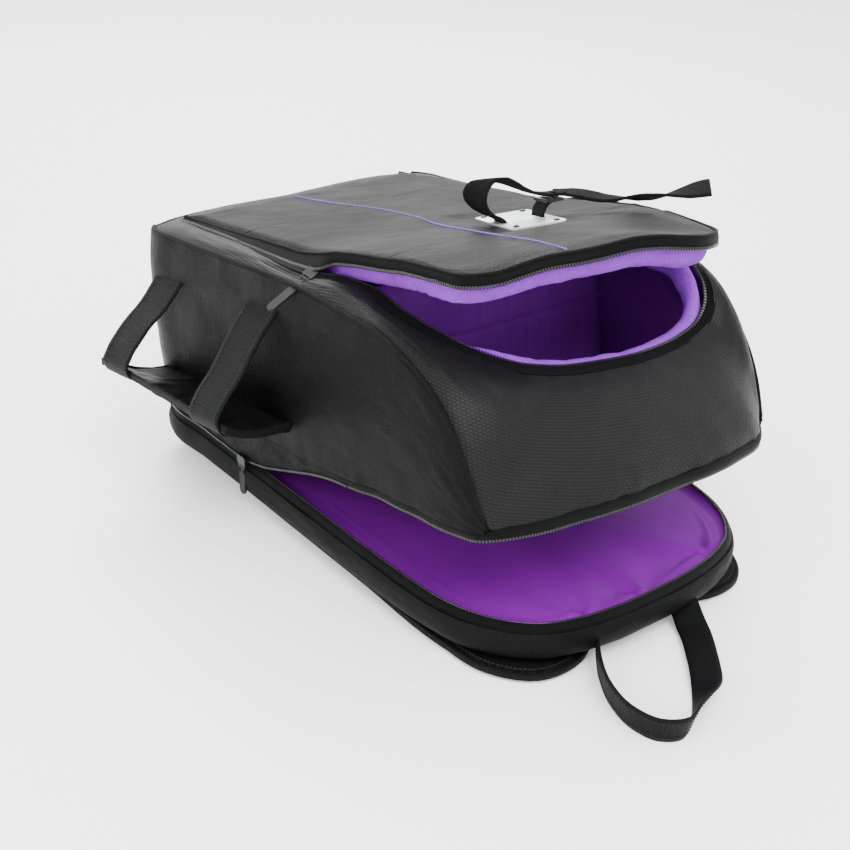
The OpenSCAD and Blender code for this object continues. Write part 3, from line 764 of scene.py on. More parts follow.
def coil_on(name, e, direction, up, mat=TEETH_LIGHTENED_FOR_GLINT, width=3.0):
    n_ = max(2, int(length(e) / 2.5))
    q = even(e, n_)
    x = np.linspace(0, 1, len(e))
    pick = lambda a: np.stack([np.interp(np.linspace(0, 1, n_), x, a[:, i]) for i in range(3)], 1)
    d, u = pick(direction), pick(up)
    t = np.gradient(q, axis=0)
    t /= np.linalg.norm(t, axis=1, keepdims=True)
    w, h, k = width, 1.7, 0.8
    prof = np.array([(-k, 0, -h / 2), (k, 0, -h / 2), (-k, w * 0.7, -h / 2), (k, w * 0.7, -h / 2),
                     (-k * 0.8, w, 0), (k * 0.8, w, 0), (-k, w * 0.7, h / 2), (k, w * 0.7, h / 2),
                     (-k, 0, h / 2), (k, 0, h / 2)])
    v = (q[:, None] + t[:, None] * prof[None, :, :1] + d[:, None] * prof[None, :, 1:2] + u[:, None]
        * prof[None, :, 2:])
    quads = np.array([(0, 2, 3, 1), (2, 4, 5, 3), (4, 6, 7, 5), (6, 8, 9, 7), (0, 1, 9, 8), (0, 8, 6, 2),
        (1, 3, 7, 9)])
    tris = np.array([(2, 6, 4), (3, 5, 7)])
    f = (quads[None] + 10 * np.arange(n_)[:, None, None]).reshape(-1, 4).tolist()
    f += (tris[None] + 10 * np.arange(n_)[:, None, None]).reshape(-1, 3).tolist()
    return make(name, v.reshape(-1, 3), f, mat, smooth=False)


o = coil_on("front_zip_coil", body(edge), body(edge + tape_dir) - body(edge), body(edge + up_vec)
    - body(edge))
piece(o, "main_body", "zip")

# Rear opening zip, main body side: a tape standing along the lower edge, open round the top end
near_row = front[(front[:, -1, 1] < -226) & (front[:, -1, 2] < 13), -1]
low = np.concatenate([wall[LEFT_END - 1:0:-1, 0], near_row, wall[:RIGHT_END - 1:-1, 0][1:]])
for i in range(3):
    low[:, i] = np.convolve(np.pad(low[:, i], 3, mode="edge"), np.ones(7) / 7, "valid")
low = even(low, 1400)
SLIDER_Y = 108
OPEN_LOW = low[low[:, 1] < SLIDER_Y]
t, s_, u_ = frames(OPEN_LOW, (0, 0, 1))
sgn = np.sign((s_ * OPEN_LOW).sum(1).mean())
outward = s_ * sgn


def sag(y):
    """How far the side walls hang below their zip line, near the rear sliders."""
    gap = np.maximum((HINGE_Y - y) * math.sin(OPEN), 0)
    return np.where(y > SLIDER_Y, gap, (HINGE_Y - SLIDER_Y) * math.sin(OPEN)
        * (1 - smooth_step(SLIDER_Y - y, 0, 165)))


k = np.linspace(0, 1, 7)
drop = sag(OPEN_LOW[:, 1])
g = OPEN_LOW[:, None] + outward[:, None] * (0.4 + 1.6 * np.sin(math.pi * k))[None, :, None]
g[..., 2] = OPEN_LOW[:, None, 2] + 1.5 - (TAPE_H + 1.5) * k[None]
keep = drop < 1.0
o = sheet_mesh("rear_zip_upper_tape", body(g[keep]), TAPE, 1.3, flip=sgn > 0)
piece(o, "main_body", "zip", "rear_zip_upper")
e = OPEN_LOW[keep]
down = np.zeros_like(e)
down[:, 2] = -1
e = e + np.array([0, 0, -TAPE_H + 0.8])
o = coil_on("rear_zip_upper_coil", body(e), body(e + down) - body(e), body(e + outward[keep]) - body(e))
piece(o, "main_body", "zip")

# Hinge cloth across the bottom end, from the back panel's edge to the main body's
across = np.linspace(-156, 156, 90)
edge_y = 260.6 - 9.0 * smooth_step(np.abs(across), 136, 156)
k = np.linspace(0, 1, 14)
low_edge = np.stack([across, edge_y - 1.2, 0 * across + 38.6], 1)
high_edge = body(np.stack([across, edge_y - 0.6, 0 * across + 9.6], 1))
g = low_edge[:, None] * (1 - k)[None, :, None] + high_edge[:, None] * k[None, :, None]
g[..., 1] += 1.4 * np.sin(math.pi * k)[None] + 0.5 * noise((90, 14), (30, 2), 33) * np.sin(math.pi * k)[None]
o = sheet_mesh("hinge_cloth", g, LEATHER, 1.6)
piece(o, ("back_panel", "main_body", (0, 0, 41), (0, 0, 56)), "outer_fabric")

# Closed part of the rear zip: the side walls' skirt comes down to meet the back panel
for side, part in (("left", low[:700]), ("right", low[700:][::-1])):
    c = part[(part[:, 1] > SLIDER_Y - 168)]
    c = even(c, 200)
    d = sag(c[:, 1])
    out = np.stack([np.sign(c[:, 0]), 0 * d, 0 * d], 1)
    corner = smooth_step(c[:, 1], 236, 258)[:, None]
    out = out * (1 - corner) + np.array([0, 1, 0]) * corner
    k = np.linspace(0, 1, 22)
    g = np.repeat(c[:, None], 22, 1) + out[:, None] * (0.6 + 2.2 * np.sin(math.pi * k)
        * np.minimum(d, 20)[:, None] / 20)[..., None]
    g[..., 2] = (c[:, 2:] + 2) * (1 - k)[None] - d[:, None] * k[None]
    g += out[:, None] * (noise((200, 22), (26, 3), 31 if side == "left" else 32) * np.sin(math.pi * k)[None]
        * 1.3)[..., None]
    w = body(g)
    w[..., 2] = np.maximum(w[..., 2], 47.4)
    o = sheet_mesh(f"rear_gusset_{side}", w, SIDE, 1.6, flip=side == "left")
    piece(o, ("back_panel", "main_body", (0, 0, 48.5), (0, 0, 72)), "outer_fabric")
    e = w[:, -1]
    up_v = np.zeros_like(e)
    up_v[:, 2] = 1
    o = coil_on(f"rear_zip_closed_coil_{side}", e + np.array([0, 0, 0.8]) + out * 0.4, -up_v, out)
    piece(o, ("back_panel", "main_body", (0, 0, 48.5), (0, 0, 72)), "zip")

# ---- Lining, fleece and divider of the main compartment ---------------------------------------

base = []
for (i_, o_, _, _) in STATIONS:
    x, y, z = o_
    if y < -100:
        near_q = float(smooth_step(np.array(-y), 105, 215))
        base.append((math.copysign(min(152 - 8 * near_q, abs(x) * (1 - 0.08 * near_q)), x), y + 22 * near_q,
            15))
    elif y > 240:
        base.append((x * 0.97, 250, 15))
    else:
        base.append((math.copysign(152, x), y if y > -180 else y + 6, 15))
base = np.array(base, float)
middle = np.array([0, 10, 15.0])
d = np.stack([np.clip(-INNER[:, 0] / 130, -1, 1) * 10, 10 * smooth_step(-INNER[:, 1], 120, 190) - 10
    * smooth_step(INNER[:, 1], 190, 225), -2 + 0 * INNER[:, 0]], 1)
r0 = INNER + d * 0.35 + np.array([0, 0, -1.5])
r1 = INNER * 0.55 + OUTER * 0.45 + d * 0.35 - np.array([0, 0, 16])
r2 = OUTER * np.array([0.945, 1, 1]) + np.array([0, 0, -14]) + np.stack([0 * INNER[:, 0], 30
    * smooth_step(-OUTER[:, 1], 105, 215) - np.where(OUTER[:, 1] > 225, 10, 0), 0 * INNER[:, 0]], 1)
r2[:, 2] = np.maximum(r2[:, 2], 34)
r3 = r2 * 0.5 + base * 0.5
r5 = base * 0.9 + middle * 0.1
r6 = base * 0.45 + middle * 0.55
r7 = base * 0.02 + middle * 0.98
g = net(np.stack([r0, r1, r2, r3, base, r5, r6, r7], 1), 420, 90, closed=True)
n = normals(g, True)
w = noise((420, 90), (40, 10), 41, 3) * 2.0
w[:30] *= np.linspace(0, 1, 30)[:, None]
w[-30:] *= np.linspace(1, 0, 30)[:, None]
w[:, :6] *= 0.2
g += n * w[..., None]
g[..., 0] = np.clip(g[..., 0], -153, 153)
o = sheet_mesh("main_lining_cloth", body(g), LINING, 1.2, closed=True)
piece(o, "main_body", "lining", "main_lining")

# Padded roll of fleece round the opening, just inside the zip
near_w = smooth_step(-INNER[:, 1:2], 140, 190)
roll = even(INNER + d * (0.7 + 0.55 * near_w) + np.array([0, 0, 1.0]) * (-6 + 7 * near_w), 420, closed=False)
roll = roll[(roll[:, 1] < 200)]
t, s_, u_ = frames(roll, (0, 0, 1))
a = np.linspace(0, 2 * math.pi, 25)[:-1]
lump = 1 + 0.07 * noise((len(roll), 24), (60, 4), 51, 3)
wid, hei = 7.2, 11.0
tuck = 1 - 0.05 * np.clip(np.sin(np.arange(len(roll)) * 0.33) ** 8, 0, 1)[:, None]
g = roll[:, None] + s_[:, None] * (np.cos(a)[None] * wid * lump * tuck)[..., None] + u_[:,
    None] * (np.sin(a)[None] * hei * lump * tuck - 3)[..., None]
g = np.concatenate([g, g[:, :1]], 1)
o = sheet_mesh("opening_fleece_roll", body(g), FLEECE, 1.0, flip=False)
piece(o, "main_body", "fleece", "opening_fleece")

# Cross divider: padded, with a sewn line across it and upright creases
dx = np.linspace(-150, 150, 150)
dz = np.linspace(9, 143, 70)
X, Z = np.meshgrid(dx, dz, indexing="ij")
edge_in = np.clip((150 - np.abs(X)) / 14, 0, 1) ** 0.5
top_in = np.clip((143 - Z) / 10, 0, 1) ** 0.5
seam_line = np.exp(-((Z - 92) / 2.2) ** 2)
crease = noise((150, 70), (34, 2), 61, 2) * 1.5 + noise((150, 70), (12, 8), 62, 2) * 1.0
half = 4.5 * edge_in * top_in - 2.2 * seam_line + crease * 0.8
sag_top = (4 * smooth_step(X, -20, 150) - 10 * smooth_step(-X, -20, 120)) * smooth_step(Z, 60, 143)
faces_g = []
for sgn_ in (-1, 1):
    faces_g.append(np.stack([X, -41 + sgn_ * half - 2 * np.cos(X / 60), Z - sag_top], -1))
a_, b_ = faces_g
nu, nv = X.shape
verts = np.concatenate([a_.reshape(-1, 3), b_.reshape(-1, 3)])
f = np.concatenate([grid_faces(nu, nv), grid_faces(nu, nv, at=nu * nv)[:, ::-1]])
i = np.arange(nu - 1)
rim = [np.stack([i * nv + nv - 1, (i + 1) * nv + nv - 1, (i + 1) * nv + nv - 1 + nu * nv, i * nv + nv - 1
    + nu * nv], -1),
       np.stack([i * nv, i * nv + nu * nv, (i + 1) * nv + nu * nv, (i + 1) * nv], -1)]
j = np.arange(nv - 1)
for i0 in (0, nu - 1):
    r = np.stack([i0 * nv + j, i0 * nv + j + 1, i0 * nv + j + 1 + nu * nv, i0 * nv + j + nu * nv], -1)
    rim.append(r if i0 == 0 else r[:, ::-1])
f = np.concatenate([f] + rim)
uv = np.stack([X, Z], -1).reshape(-1, 2) / 1000
o = make("cross_divider", body(verts), f.tolist(), DIVIDER, np.concatenate([uv, uv]))
piece(o, "main_body", "lining", "inner_divider")

# Underside of the main body, lined like the back panel's compartment
ring = np.array([(x * 0.965, y * 0.965 if y < 0 else y - 8, 3.5) for x, y, z in LOW[:-1]
    + [(151, -224, 0), (127, -236, 0), (80, -247, 0), (0, -256, 0), (-80, -247, 0), (-127, -236, 0)]], float)
ring = even(ring, 240, closed=True)[:-1]
mid_p = np.array([0, 5, 5.5])
g = np.stack([ring * (1 - q) + mid_p * q
    + np.array([0, 0, 2.0 * math.sin(q * math.pi)]) for q in (0, 0.04, 0.12, 0.3, 0.6, 0.996)], 1)
g = net(g, 300, 40, closed=True)
w = noise((300, 40), (24, 4), 71, 3) * 1.4
w[:24] *= np.linspace(0, 1, 24)[:, None]
w[-24:] *= np.linspace(1, 0, 24)[:, None]
g[..., 2] += w * np.linspace(1, 0, 40)[None] ** 0.7
o = sheet_mesh("body_underside", body(g), SATIN, 2.0, closed=True, flip=True)
piece(o, "main_body", "satin", "body_floor")

# ---- Back panel ---------------------------------------------------------------------------

HALF = [(-160, 180), (-160, 100), (-160, 0), (-160, -80), (-159, -128), (-156, -163), (-147, -195),
    (-131, -222),
        (-110, -241), (-80, -253), (-42, -259.5), (0, -261)]
PLAN = [(x, y) for x, y in HALF] + [(-x, y) for x, y in HALF[:-1]][::-1] + \
       [(160, 238), (154, 254), (138, 260), (0, 261), (-138, 260), (-154, 254), (-160, 238)]
PLAN = np.array([(x, y, 0) for x, y in PLAN], float)
outline = even(PLAN, 520, closed=True)[:-1]
t, s_, _ = frames(outline, (0, 0, 1), closed=True)
OUT = s_ * np.sign((s_ * outline).sum(1).mean())
NS = len(outline)


def ring_rows(rows, nv, seed=None, amp=0.8, cells=(46, 3)):
    """A closed grid round the back panel from (height, distance inwards) rows."""
    r = np.array(rows, float)
    g = outline[:, None] - OUT[:, None] * r[None, :, 1, None]
    g = g + np.array([0, 0, 1.0]) * r[None, :, 0, None]
    g = np.swapaxes(spline(np.swapaxes(g, 0, 1), nv), 0, 1)
    if seed:
        w = noise((NS, nv), cells, seed, 3) * amp
        w[:24] *= np.linspace(0, 1, 24)[:, None]
        w[-24:] *= np.linspace(1, 0, 24)[:, None]
        g += OUT[:, None] * w[..., None]
    return g


g = ring_rows([(16.5, 14), (16, 6), (18.5, 1.2), (23, -0.6), (30, -1.2), (36, -0.4), (39, 0.8)], 46, 81, 0.9)
o = sheet_mesh("back_panel_wall", g, SLAB, 2.5, closed=True, flip=True)
piece(o, "back_panel", "outer_fabric", "band_wall")
o = sweep("back_panel_piping", outline - OUT * 0.2 + np.array([0, 0, 19.5]),
          [(1.7 * math.cos(q), 1.7 * math.sin(q)) for q in np.linspace(0, 2 * math.pi, 9)[:-1]], BINDING,
              closed=True)
piece(o, "back_panel", "webbing")
g = ring_rows([(38.6, 0.6), (41, 1.0), (44, 2.4), (46, 4.6)], 8)
o = sheet_mesh("rear_zip_lower_tape", g, TAPE, 1.2, closed=True, flip=True)
piece(o, "back_panel", "zip", "rear_zip_lower")
e = outline - OUT * 4.2 + np.array([0, 0, 46.0])
first = int(np.argmax(e[:, 1] < SLIDER_Y))
e = np.roll(e, -first, 0)
oo = np.roll(OUT, -first, 0)
last = int(np.argmax(e[:, 1] > SLIDER_Y))
e, oo = e[:last], oo[:last]
up_v = np.zeros_like(e)
up_v[:, 2] = 1
d_ = up_v * 0.75 - oo * 0.66
o = coil_on("rear_zip_lower_coil", e - np.array([0, 0, 1.2]), d_, np.cross(np.gradient(e, axis=0), d_) / 2)
piece(o, "back_panel", "zip")

# Satin inside the rear compartment, tucked at its hem near the top end
lining_rows = [(44.5, 4.6), (41.5, 7.5), (38.5, 12), (36.8, 20), (36.2, 34)]
g1 = ring_rows(lining_rows, 40)
rest = []
c0 = np.array([0, 10, 37.5])
edge_ring = g1[:, -1]
for q in (0.0, 0.2, 0.45, 0.7, 0.996):
    rest.append(edge_ring * (1 - q) + c0 * q + np.array([0, 0, 2.0 * math.sin(q * math.pi / 2)]))
g2 = np.swapaxes(spline(np.swapaxes(np.stack(rest, 1), 0, 1), 70), 0, 1)
g = np.concatenate([g1, g2[:, 1:]], 1)
x, y = g[..., 0], g[..., 1]
dist_in = np.concatenate([np.linspace(0, 30, 40), np.linspace(30, 160, 69)])[None]
lift = np.zeros_like(x)
for cx, cy, turn in ((-62, -247, 0.9), (-4, -252, 1.25), (88, -238, 1.9)):
    rx, ry = x - cx, y - cy
    rr = np.hypot(rx, ry)
    th = np.arctan2(ry, rx)
    lift += 3.4 * np.exp(-rr / 42) * np.cos(5 * (th - turn)) * smooth_step(rr, 2, 16) * smooth_step(dist_in,
        3, 14)
    lift -= 3.2 * np.exp(-(rr / 9) ** 2) * smooth_step(dist_in, 2, 8)
calm = 1 - smooth_step(dist_in, 70, 158)
lift += 1.1 * noise(x.shape, (22, 5), 91, 3) * smooth_step(dist_in, 4, 20) * calm
lift += 1.6 * np.sin(x / 42 + y / 75) * np.sin(y / 55 + 0.6) * smooth_step(dist_in, 10, 50)
lift += 1.3 * np.exp(-((dist_in - 16) / 4) ** 2) * smooth_step(-y, 150, 215)
g[..., 2] += lift
o = sheet_mesh("rear_lining_satin", g, SATIN, 1.0, closed=True)
piece(o, "back_panel", "satin", "rear_lining", "rear_pocket")

# Underside: cushions of spacer mesh on a padded board
g = ring_rows([(17, 13), (15.8, 22), (15.5, 40)], 8)
mid_b = np.array([0, 0, 15.5])
g2 = np.stack([g[:, -1] * (1 - q) + mid_b * q for q in (0, 0.3, 0.6, 0.985)], 1)
g = np.concatenate([g, np.swapaxes(spline(np.swapaxes(g2, 0, 1), 30), 0, 1)[:, 1:]], 1)
o = sheet_mesh("back_board_cloth", g, SLAB, 2.0, closed=True, flip=True)
piece(o, "back_panel", "outer_fabric", "back_board")


def cushion(name, node, rides, mat, seams=(), flat=0.0, low=None, seed=1, cells=9):
    """A stuffed cushion filling a CAD solid's box, its sides pulled in between the corners."""
    a, b = (np.array(v) * 1000 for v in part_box(node))
    if low is not None:
        a[2] = low
    c, h = (a + b) / 2, (b - a) / 2
    nu, nv = 90, 70
    u = np.linspace(0, 2 * math.pi, nu + 1)[:-1]
    v = np.linspace(-math.pi / 2, math.pi / 2, nv)
    sq = lambda q, p: np.sign(q) * np.abs(q) ** p
    U, V = np.meshgrid(u, v, indexing="ij")
    X = sq(np.cos(U), 0.42) * sq(np.cos(V), 0.5)
    Y = sq(np.sin(U), 0.42) * sq(np.cos(V), 0.5)
    Z = sq(np.sin(V), 0.75)
    pull = 1 - 0.035 * (np.cos(2 * U) ** 2)
    X, Y = X * pull, Y * pull
    Z = Z * (0.86 + 0.14 * np.cos(X * 1.4) * np.cos(Y * 1.4))
    for ax, at, deep in seams:
        q = X if ax == "x" else Y
        Z = Z * (1 - deep * np.exp(-((q - at) / 0.035) ** 2))
    Z = np.maximum(Z, -0.985)
    p = np.stack([X * h[0], Y * h[1], Z * h[2]], -1) + c
    w = noise((nu, nv), (cells, 6), seed, 3) * 0.6
    w[:8] *= np.linspace(0, 1, 8)[:, None]
    w[-8:] *= np.linspace(1, 0, 8)[:, None]
    p += normals(p, True) * w[..., None] * np.cos(V)[..., None]
    p[..., 2] = np.clip(p[..., 2], a[2], b[2])
    verts = p.reshape(-1, 3)
    f = grid_faces(nu, nv, True).tolist()
    f += [[i * nv for i in range(nu)], [i * nv + nv - 1 for i in range(nu)][::-1]]
    uv = np.stack([p[..., 0], p[..., 1]], -1).reshape(-1, 2) / 1000
    o = make(name, verts, f, mat, uv)
    piece(o, rides, "air_mesh", node)
    return o


def stuffed(o, pressure=3.5, cap=0.004, frames_n=14):
    """Swells a cushion with a short cloth simulation, then leaves the plain mesh."""
    rest = np.array([v.co for v in o.data.vertices])
    lo, hi = rest.min(0), rest.max(0)
    m = o.modifiers.new("cloth", "CLOTH")
    m.settings.use_pressure = True
    m.settings.uniform_pressure_force = pressure
    m.settings.effector_weights.gravity = 0
    m.settings.tension_stiffness = 20
    m.settings.bending_stiffness = 2
    m.point_cache.frame_start, m.point_cache.frame_end = 1, frames_n
    scene = bpy.context.scene
    for k in range(1, frames_n + 1):
        scene.frame_set(k)
    dg = bpy.context.evaluated_depsgraph_get()
    now = np.array([v.co for v in o.evaluated_get(dg).data.vertices])
    o.modifiers.remove(m)
    scene.frame_set(1)
    if now.shape == rest.shape:
        move = now - rest
        size = np.linalg.norm(move, axis=1, keepdims=True)
        move *= np.minimum(1, cap / np.maximum(size, 1e-9))
        now = np.clip(rest + move, lo, hi)
        o.data.vertices.foreach_set("co", now.astype(np.float32).ravel())
        o.data.update()
    return o


PADS = [cushion("back_cushion_top", "back_pad_top", "back_panel", MESH, [("y", 0.0, 0.35)], seed=101),
        cushion("back_cushion_middle", "back_pad_middle", "back_panel", MESH,
            [("x", 0.0, 0.5), ("y", 0.3, 0.3)], seed=102),
        cushion("back_cushion_lumbar", "back_pad_lumbar", "back_panel", MESH,
            [("x", -0.34, 0.45), ("x", 0.34, 0.45)], seed=103)]

# ---- Harness --------------------------------------------------------------------------------

STRAP_PATH = [(58, -211), (83, -226), (105, -225), (120, -207), (125, -172), (124, -60), (123, 60),
    (122, 140), (122, 192)]
WEB_PATH = [(124, 184), (124, 196), (122, 216), (121, 240)]
HANDLE_PATH = [(-52, -246), (-62, -256), (-78, -276), (-93, -302), (-99, -332), (-93, -352), (-77, -362),
    (-56, -355),
               (-25, -338), (6, -306), (28, -276), (40, -250)]


def strap_profile(w, h, n=21):
    """Lens-like section of a padded strap with firm edges."""
    x = np.linspace(-1, 1, n)
    up_ = h * (0.32 + 0.68 * (1 - np.abs(x) ** 3.2)) / 2
    return [(w / 2 * a, b) for a, b in zip(x, up_)] + [(w / 2 * a, -b) for a, b in list(zip(x, up_))[::-1]]


for side, sign in (("left", -1), ("right", 1)):
    p = even(np.array([(sign * x, y, 5.6) for x, y in STRAP_PATH], float), 220)
    o = sweep(f"shoulder_pad_{side}", p, strap_profile(52, 9.6), MESH)
    piece(o, f"strap_{side}", "outer_fabric", f"shoulder_strap_{side}")
    t, s_, u_ = frames(p)
    face = p[:, None] + s_[:, None] * (np.linspace(-22, 22, 20))[None, :, None]
    lump = 5.0 - 1.1 * (np.linspace(-1, 1, 20) ** 2)[None] + noise((220, 20), (30, 3), 111, 3) * 0.35
    face = face + np.array([0, 0, 1.0]) * (lump * 0.98)[..., None]
    o = sheet_mesh(f"shoulder_face_{side}", face, SLAB, 1.0, flip=True)
    piece(o, f"strap_{side}", "outer_fabric")
    for k in (-1, 1):
        o = sweep(f"shoulder_binding_{side}_{'in' if k < 0 else 'out'}", p + s_ * (k * 25.2),
            rounded(3.6, 6.4), BINDING)
        piece(o, f"strap_{side}", "webbing")
        o = stitches(f"shoulder_stitching_{side}_{'in' if k < 0 else 'out'}", p + s_ * (k * 21.0)
            + np.array([0, 0, 4.4]), THREAD_DARK, (0, 0, 1))
        piece(o, f"strap_{side}", "webbing")
    w = even(np.array([(sign * x, y, 4.4) for x, y in WEB_PATH], float), 60)
    t, s_, u_ = frames(w)
    g = w[:, None] + s_[:, None] * (np.linspace(-12.5, 12.5, 7))[None, :, None]
    g[..., 2] += 0.35 * np.sin(np.linspace(0, 9, 60))[:, None]
    o = sheet_mesh(f"lower_webbing_{side}", g, WEBBING, 1.6, out=0.8, flip=True)
    piece(o, f"strap_{side}", "webbing", f"strap_webbing_{side}")


def sewn_patch(name, node, rides, mat):
    """A flat sewn pad with rounded edges in a CAD solid's box."""
    src = frame["nodes"][node]
    me = src.data.copy()
    o = bpy.data.objects.new(name, me)
    bpy.context.scene.collection.objects.link(o)
    o.data.materials.clear()
    o.data.materials.append(mat)
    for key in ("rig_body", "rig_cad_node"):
        if key in o:
            del o[key]
    bm = o.modifiers.new("bevel", "BEVEL")
    bm.width, bm.segments, bm.limit_method = 0.0016, 3, "ANGLE"
    dg = bpy.context.evaluated_depsgraph_get()
    made = bpy.data.meshes.new_from_object(o.evaluated_get(dg))
    o.modifiers.clear()
    o.data = made
    made.shade_smooth()
    piece(o, rides, "webbing", node)
    return o


sewn_patch("strap_anchor_pad", "strap_yoke", "back_panel", WEBBING)
sewn_patch("strap_wing_patch_left", "strap_wing_left", "back_panel", SLAB)
sewn_patch("strap_wing_patch_right", "strap_wing_right", "back_panel", SLAB)

p = even(np.array([(x, y, 13.0) for x, y in HANDLE_PATH], float), 260)
q = np.linspace(0, 1, 260)
turn = 1.15 * smooth_step(q, 0.5, 0.74)
t, s_, u_ = frames(p)
lean = 0.22 * np.sin(q * math.pi)
side_v = np.array([0, 0, 1.0]) * np.cos(turn + lean)[:, None] + s_ * np.sin(turn + lean)[:, None]
p[:, 2] = 13.2 - 4.5 * smooth_step(q, 0.5, 0.74) + 9 * smooth_step(q, 0.9, 1.0) + 6 * (1
    - smooth_step(q, 0.0, 0.12))
g = band(p, 25, side_v)
g[..., 2] = np.maximum(g[..., 2], 1.1)
o = sheet_mesh("grab_handle_webbing", g, WEBBING, 1.7, out=0.85)
piece(o, "handle", "webbing", "grab_handle")
for k in (1, 5):
    row = g[:, k] + np.cross(t, side_v) * 1.0
    o = stitches(f"handle_stitching_{k}", row, THREAD_DARK, np.cross(t, side_v))
    piece(o, "handle", "webbing")

# ---- Side loops and the flap under them --------------------------------------------------------

LOOP = [(161.5, 142), (162.5, 138), (168, 131), (185, 113), (208, 89), (227, 69), (232.5, 59), (230, 50),
    (214, 44),
        (190, 38), (163.5, 33)]
FLAP_Y0, FLAP_Y1 = 13, 233


def flap_z(y):
    return 47 + 15 * (y - FLAP_Y0) / (FLAP_Y1 - FLAP_Y0)


for side, sign in (("left", -1), ("right", 1)):
    for place, y0 in (("near", 17), ("far", 175)):
        c = even(np.array([(sign * x, 0, z + (flap_z(y0 + 25) - 54) * (1 if z < 100 else 0)) for x,
            z in LOOP], float), 120)
        w = np.linspace(0, 50, 13)
        g = np.repeat(c[:, None], 13, 1)
        g[..., 1] = y0 + w[None] + 1.6 * np.sin(np.linspace(0, math.pi, 120))[:, None] * np.cos(w / 50
            * math.pi)[None]
        g[..., 2] += (noise((120, 13), (9, 2), 121 + y0, 2) * 0.9
            * np.sin(np.linspace(0, math.pi, 120))[:, None])
        o = sheet_mesh(f"side_loop_{side}_{place}", body(g), WEBBING, 1.7, out=0.8, flip=sign < 0)
        piece(o, "main_body", "webbing", *([f"side_loops_{side}"] if place == "near" else []))
        for k in (1, 11):
            row = g[:, k] + np.array([sign * 0.7, 0, 0.9])
            o = stitches(f"loop_stitching_{side}_{place}_{k}", body(row), THREAD_DARK,
                body(row + np.array([sign * 0.7, 0, 0.7])) - body(row))
            piece(o, "main_body", "webbing")
        # Sewn box where the loop meets the wall
        zz = (134, 141)
        box_ = np.array([(sign * 164.5, y0 + 4, zz[0]), (sign * 164.0, y0 + 4, zz[1]),
            (sign * 164.0, y0 + 46, zz[1]), (sign * 164.5, y0 + 46, zz[0]), (sign * 164.5, y0 + 4, zz[0])],
                float)
        fine = np.concatenate([np.linspace(a, b, 24)[:-1] for a, b in zip(box_[:-1], box_[1:])])
        o = stitches(f"loop_box_{side}_{place}", body(fine), THREAD_DARK, body(fine + np.array([sign, 0, 0]))
            - body(fine))
        piece(o, "main_body", "webbing")
    ys = np.linspace(FLAP_Y0, FLAP_Y1, 120)
    xs = np.linspace(160, 229, 40)
    Y, X = np.meshgrid(ys, xs, indexing="ij")
    f = (X - 160) / 69
    Z = 36 + (flap_z(Y) - 36) * f - 7 * np.sin(f * math.pi) * (0.6 + 0.4 * np.sin(Y / 31))
    Z += noise((120, 40), (14, 5), 131, 3) * 2.0 * f
    g = np.stack([sign * X, Y, Z], -1)
    o = sheet_mesh(f"side_flap_{side}", body(g), SIDE, 3.0, out=1.5, flip=sign > 0)
    piece(o, "main_body", "outer_fabric", f"side_shelf_{side}")
    edge = np.concatenate([g[0, :-1], g[:, -1], g[-1, :-1][::-1]])
    edge = even(body(edge), 300)
    o = sweep(f"side_flap_binding_{side}", edge, rounded(3.2, 7.5), BINDING)
    piece(o, "main_body", "webbing")

# ---- Lid ------------------------------------------------------------------------------------

NEAR = [(-135, -165), (-133, -186), (-122, -201), (-96, -209), (-62, -216), (-28, -224), (0, -235),
    (28, -246), (54, -249),
        (78, -240), (99, -218), (117, -186), (129, -146)]
FAR_Y = 222.0
NA = 150
NEAR_LINE = even(np.array([(x, y, 0) for x, y in NEAR], float), NA)
EDGE_X = np.linspace(-1, 1, NA)


def lid_rows():
    """The lid's plan as columns: straight to y = -100, then fanning out to the near edge."""
    ys = np.concatenate([np.linspace(FAR_Y + 7, 118, 46), np.linspace(118, -100, 100)[1:]])
    half = np.interp(ys, [-100, -20, 60, 200, 229], [134, 132.5, 130, 127, 127])
    a = np.stack([half[:, None] * EDGE_X[None], np.repeat(ys[:, None], NA, 1)], -1)
    k = np.linspace(0, 1, 72)[1:, None, None]
    b = a[-1][None] * (1 - k) + NEAR_LINE[None, :, :2] * k
    return np.concatenate([a, b]), 45, 144


PLANE, ROW_A, ROW_B = lid_rows()
NR = len(PLANE)


def lid_height(x, y):
    """Soft shape of the lid: its near corners droop, and it lies unevenly."""
    h = -7 * smooth_step(-x, 60, 134) * smooth_step(-y, 110, 215)
    h += -3.0 * np.exp(-((x + 40) / 34) ** 2) * smooth_step(-y, 160, 226)
    h += -10 * smooth_step(x, -10, 62) * smooth_step(-y, 140, 240)
    h += -6 * smooth_step(x, 84, 134) * smooth_step(-y, 60, 180)
    h += -5 * smooth_step(x, 10, 134) * smooth_step(-y, -60, 120)
    h += 1.3 * np.sin(x / 47 + 0.6) * np.sin(y / 62)
    h += 1.6 * np.exp(-((y - 20) / 26) ** 2) * np.cos(x / 44)
    return h


X, Y = PLANE[..., 0], PLANE[..., 1]
LH = lid_height(X, Y) + noise((NR, NA), (16, 9), 141, 3) * 0.9
edge_fall = 1 - np.clip((1 - np.abs(EDGE_X)) / 0.05, 0, 1)[None] ** 0.6
near_fall = 1 - np.clip((NR - 1 - np.arange(NR)) / 9, 0, 1)[:, None] ** 0.6
far_fall = 1 - np.clip(np.arange(NR) / 8, 0, 1)[:, None] ** 0.6
closed_part = smooth_step(Y, -30, 0)
TOPH = 4.2 - np.maximum(np.maximum(edge_fall, near_fall) * (2.6 + 1.6 * closed_part), 4.4 * far_fall)
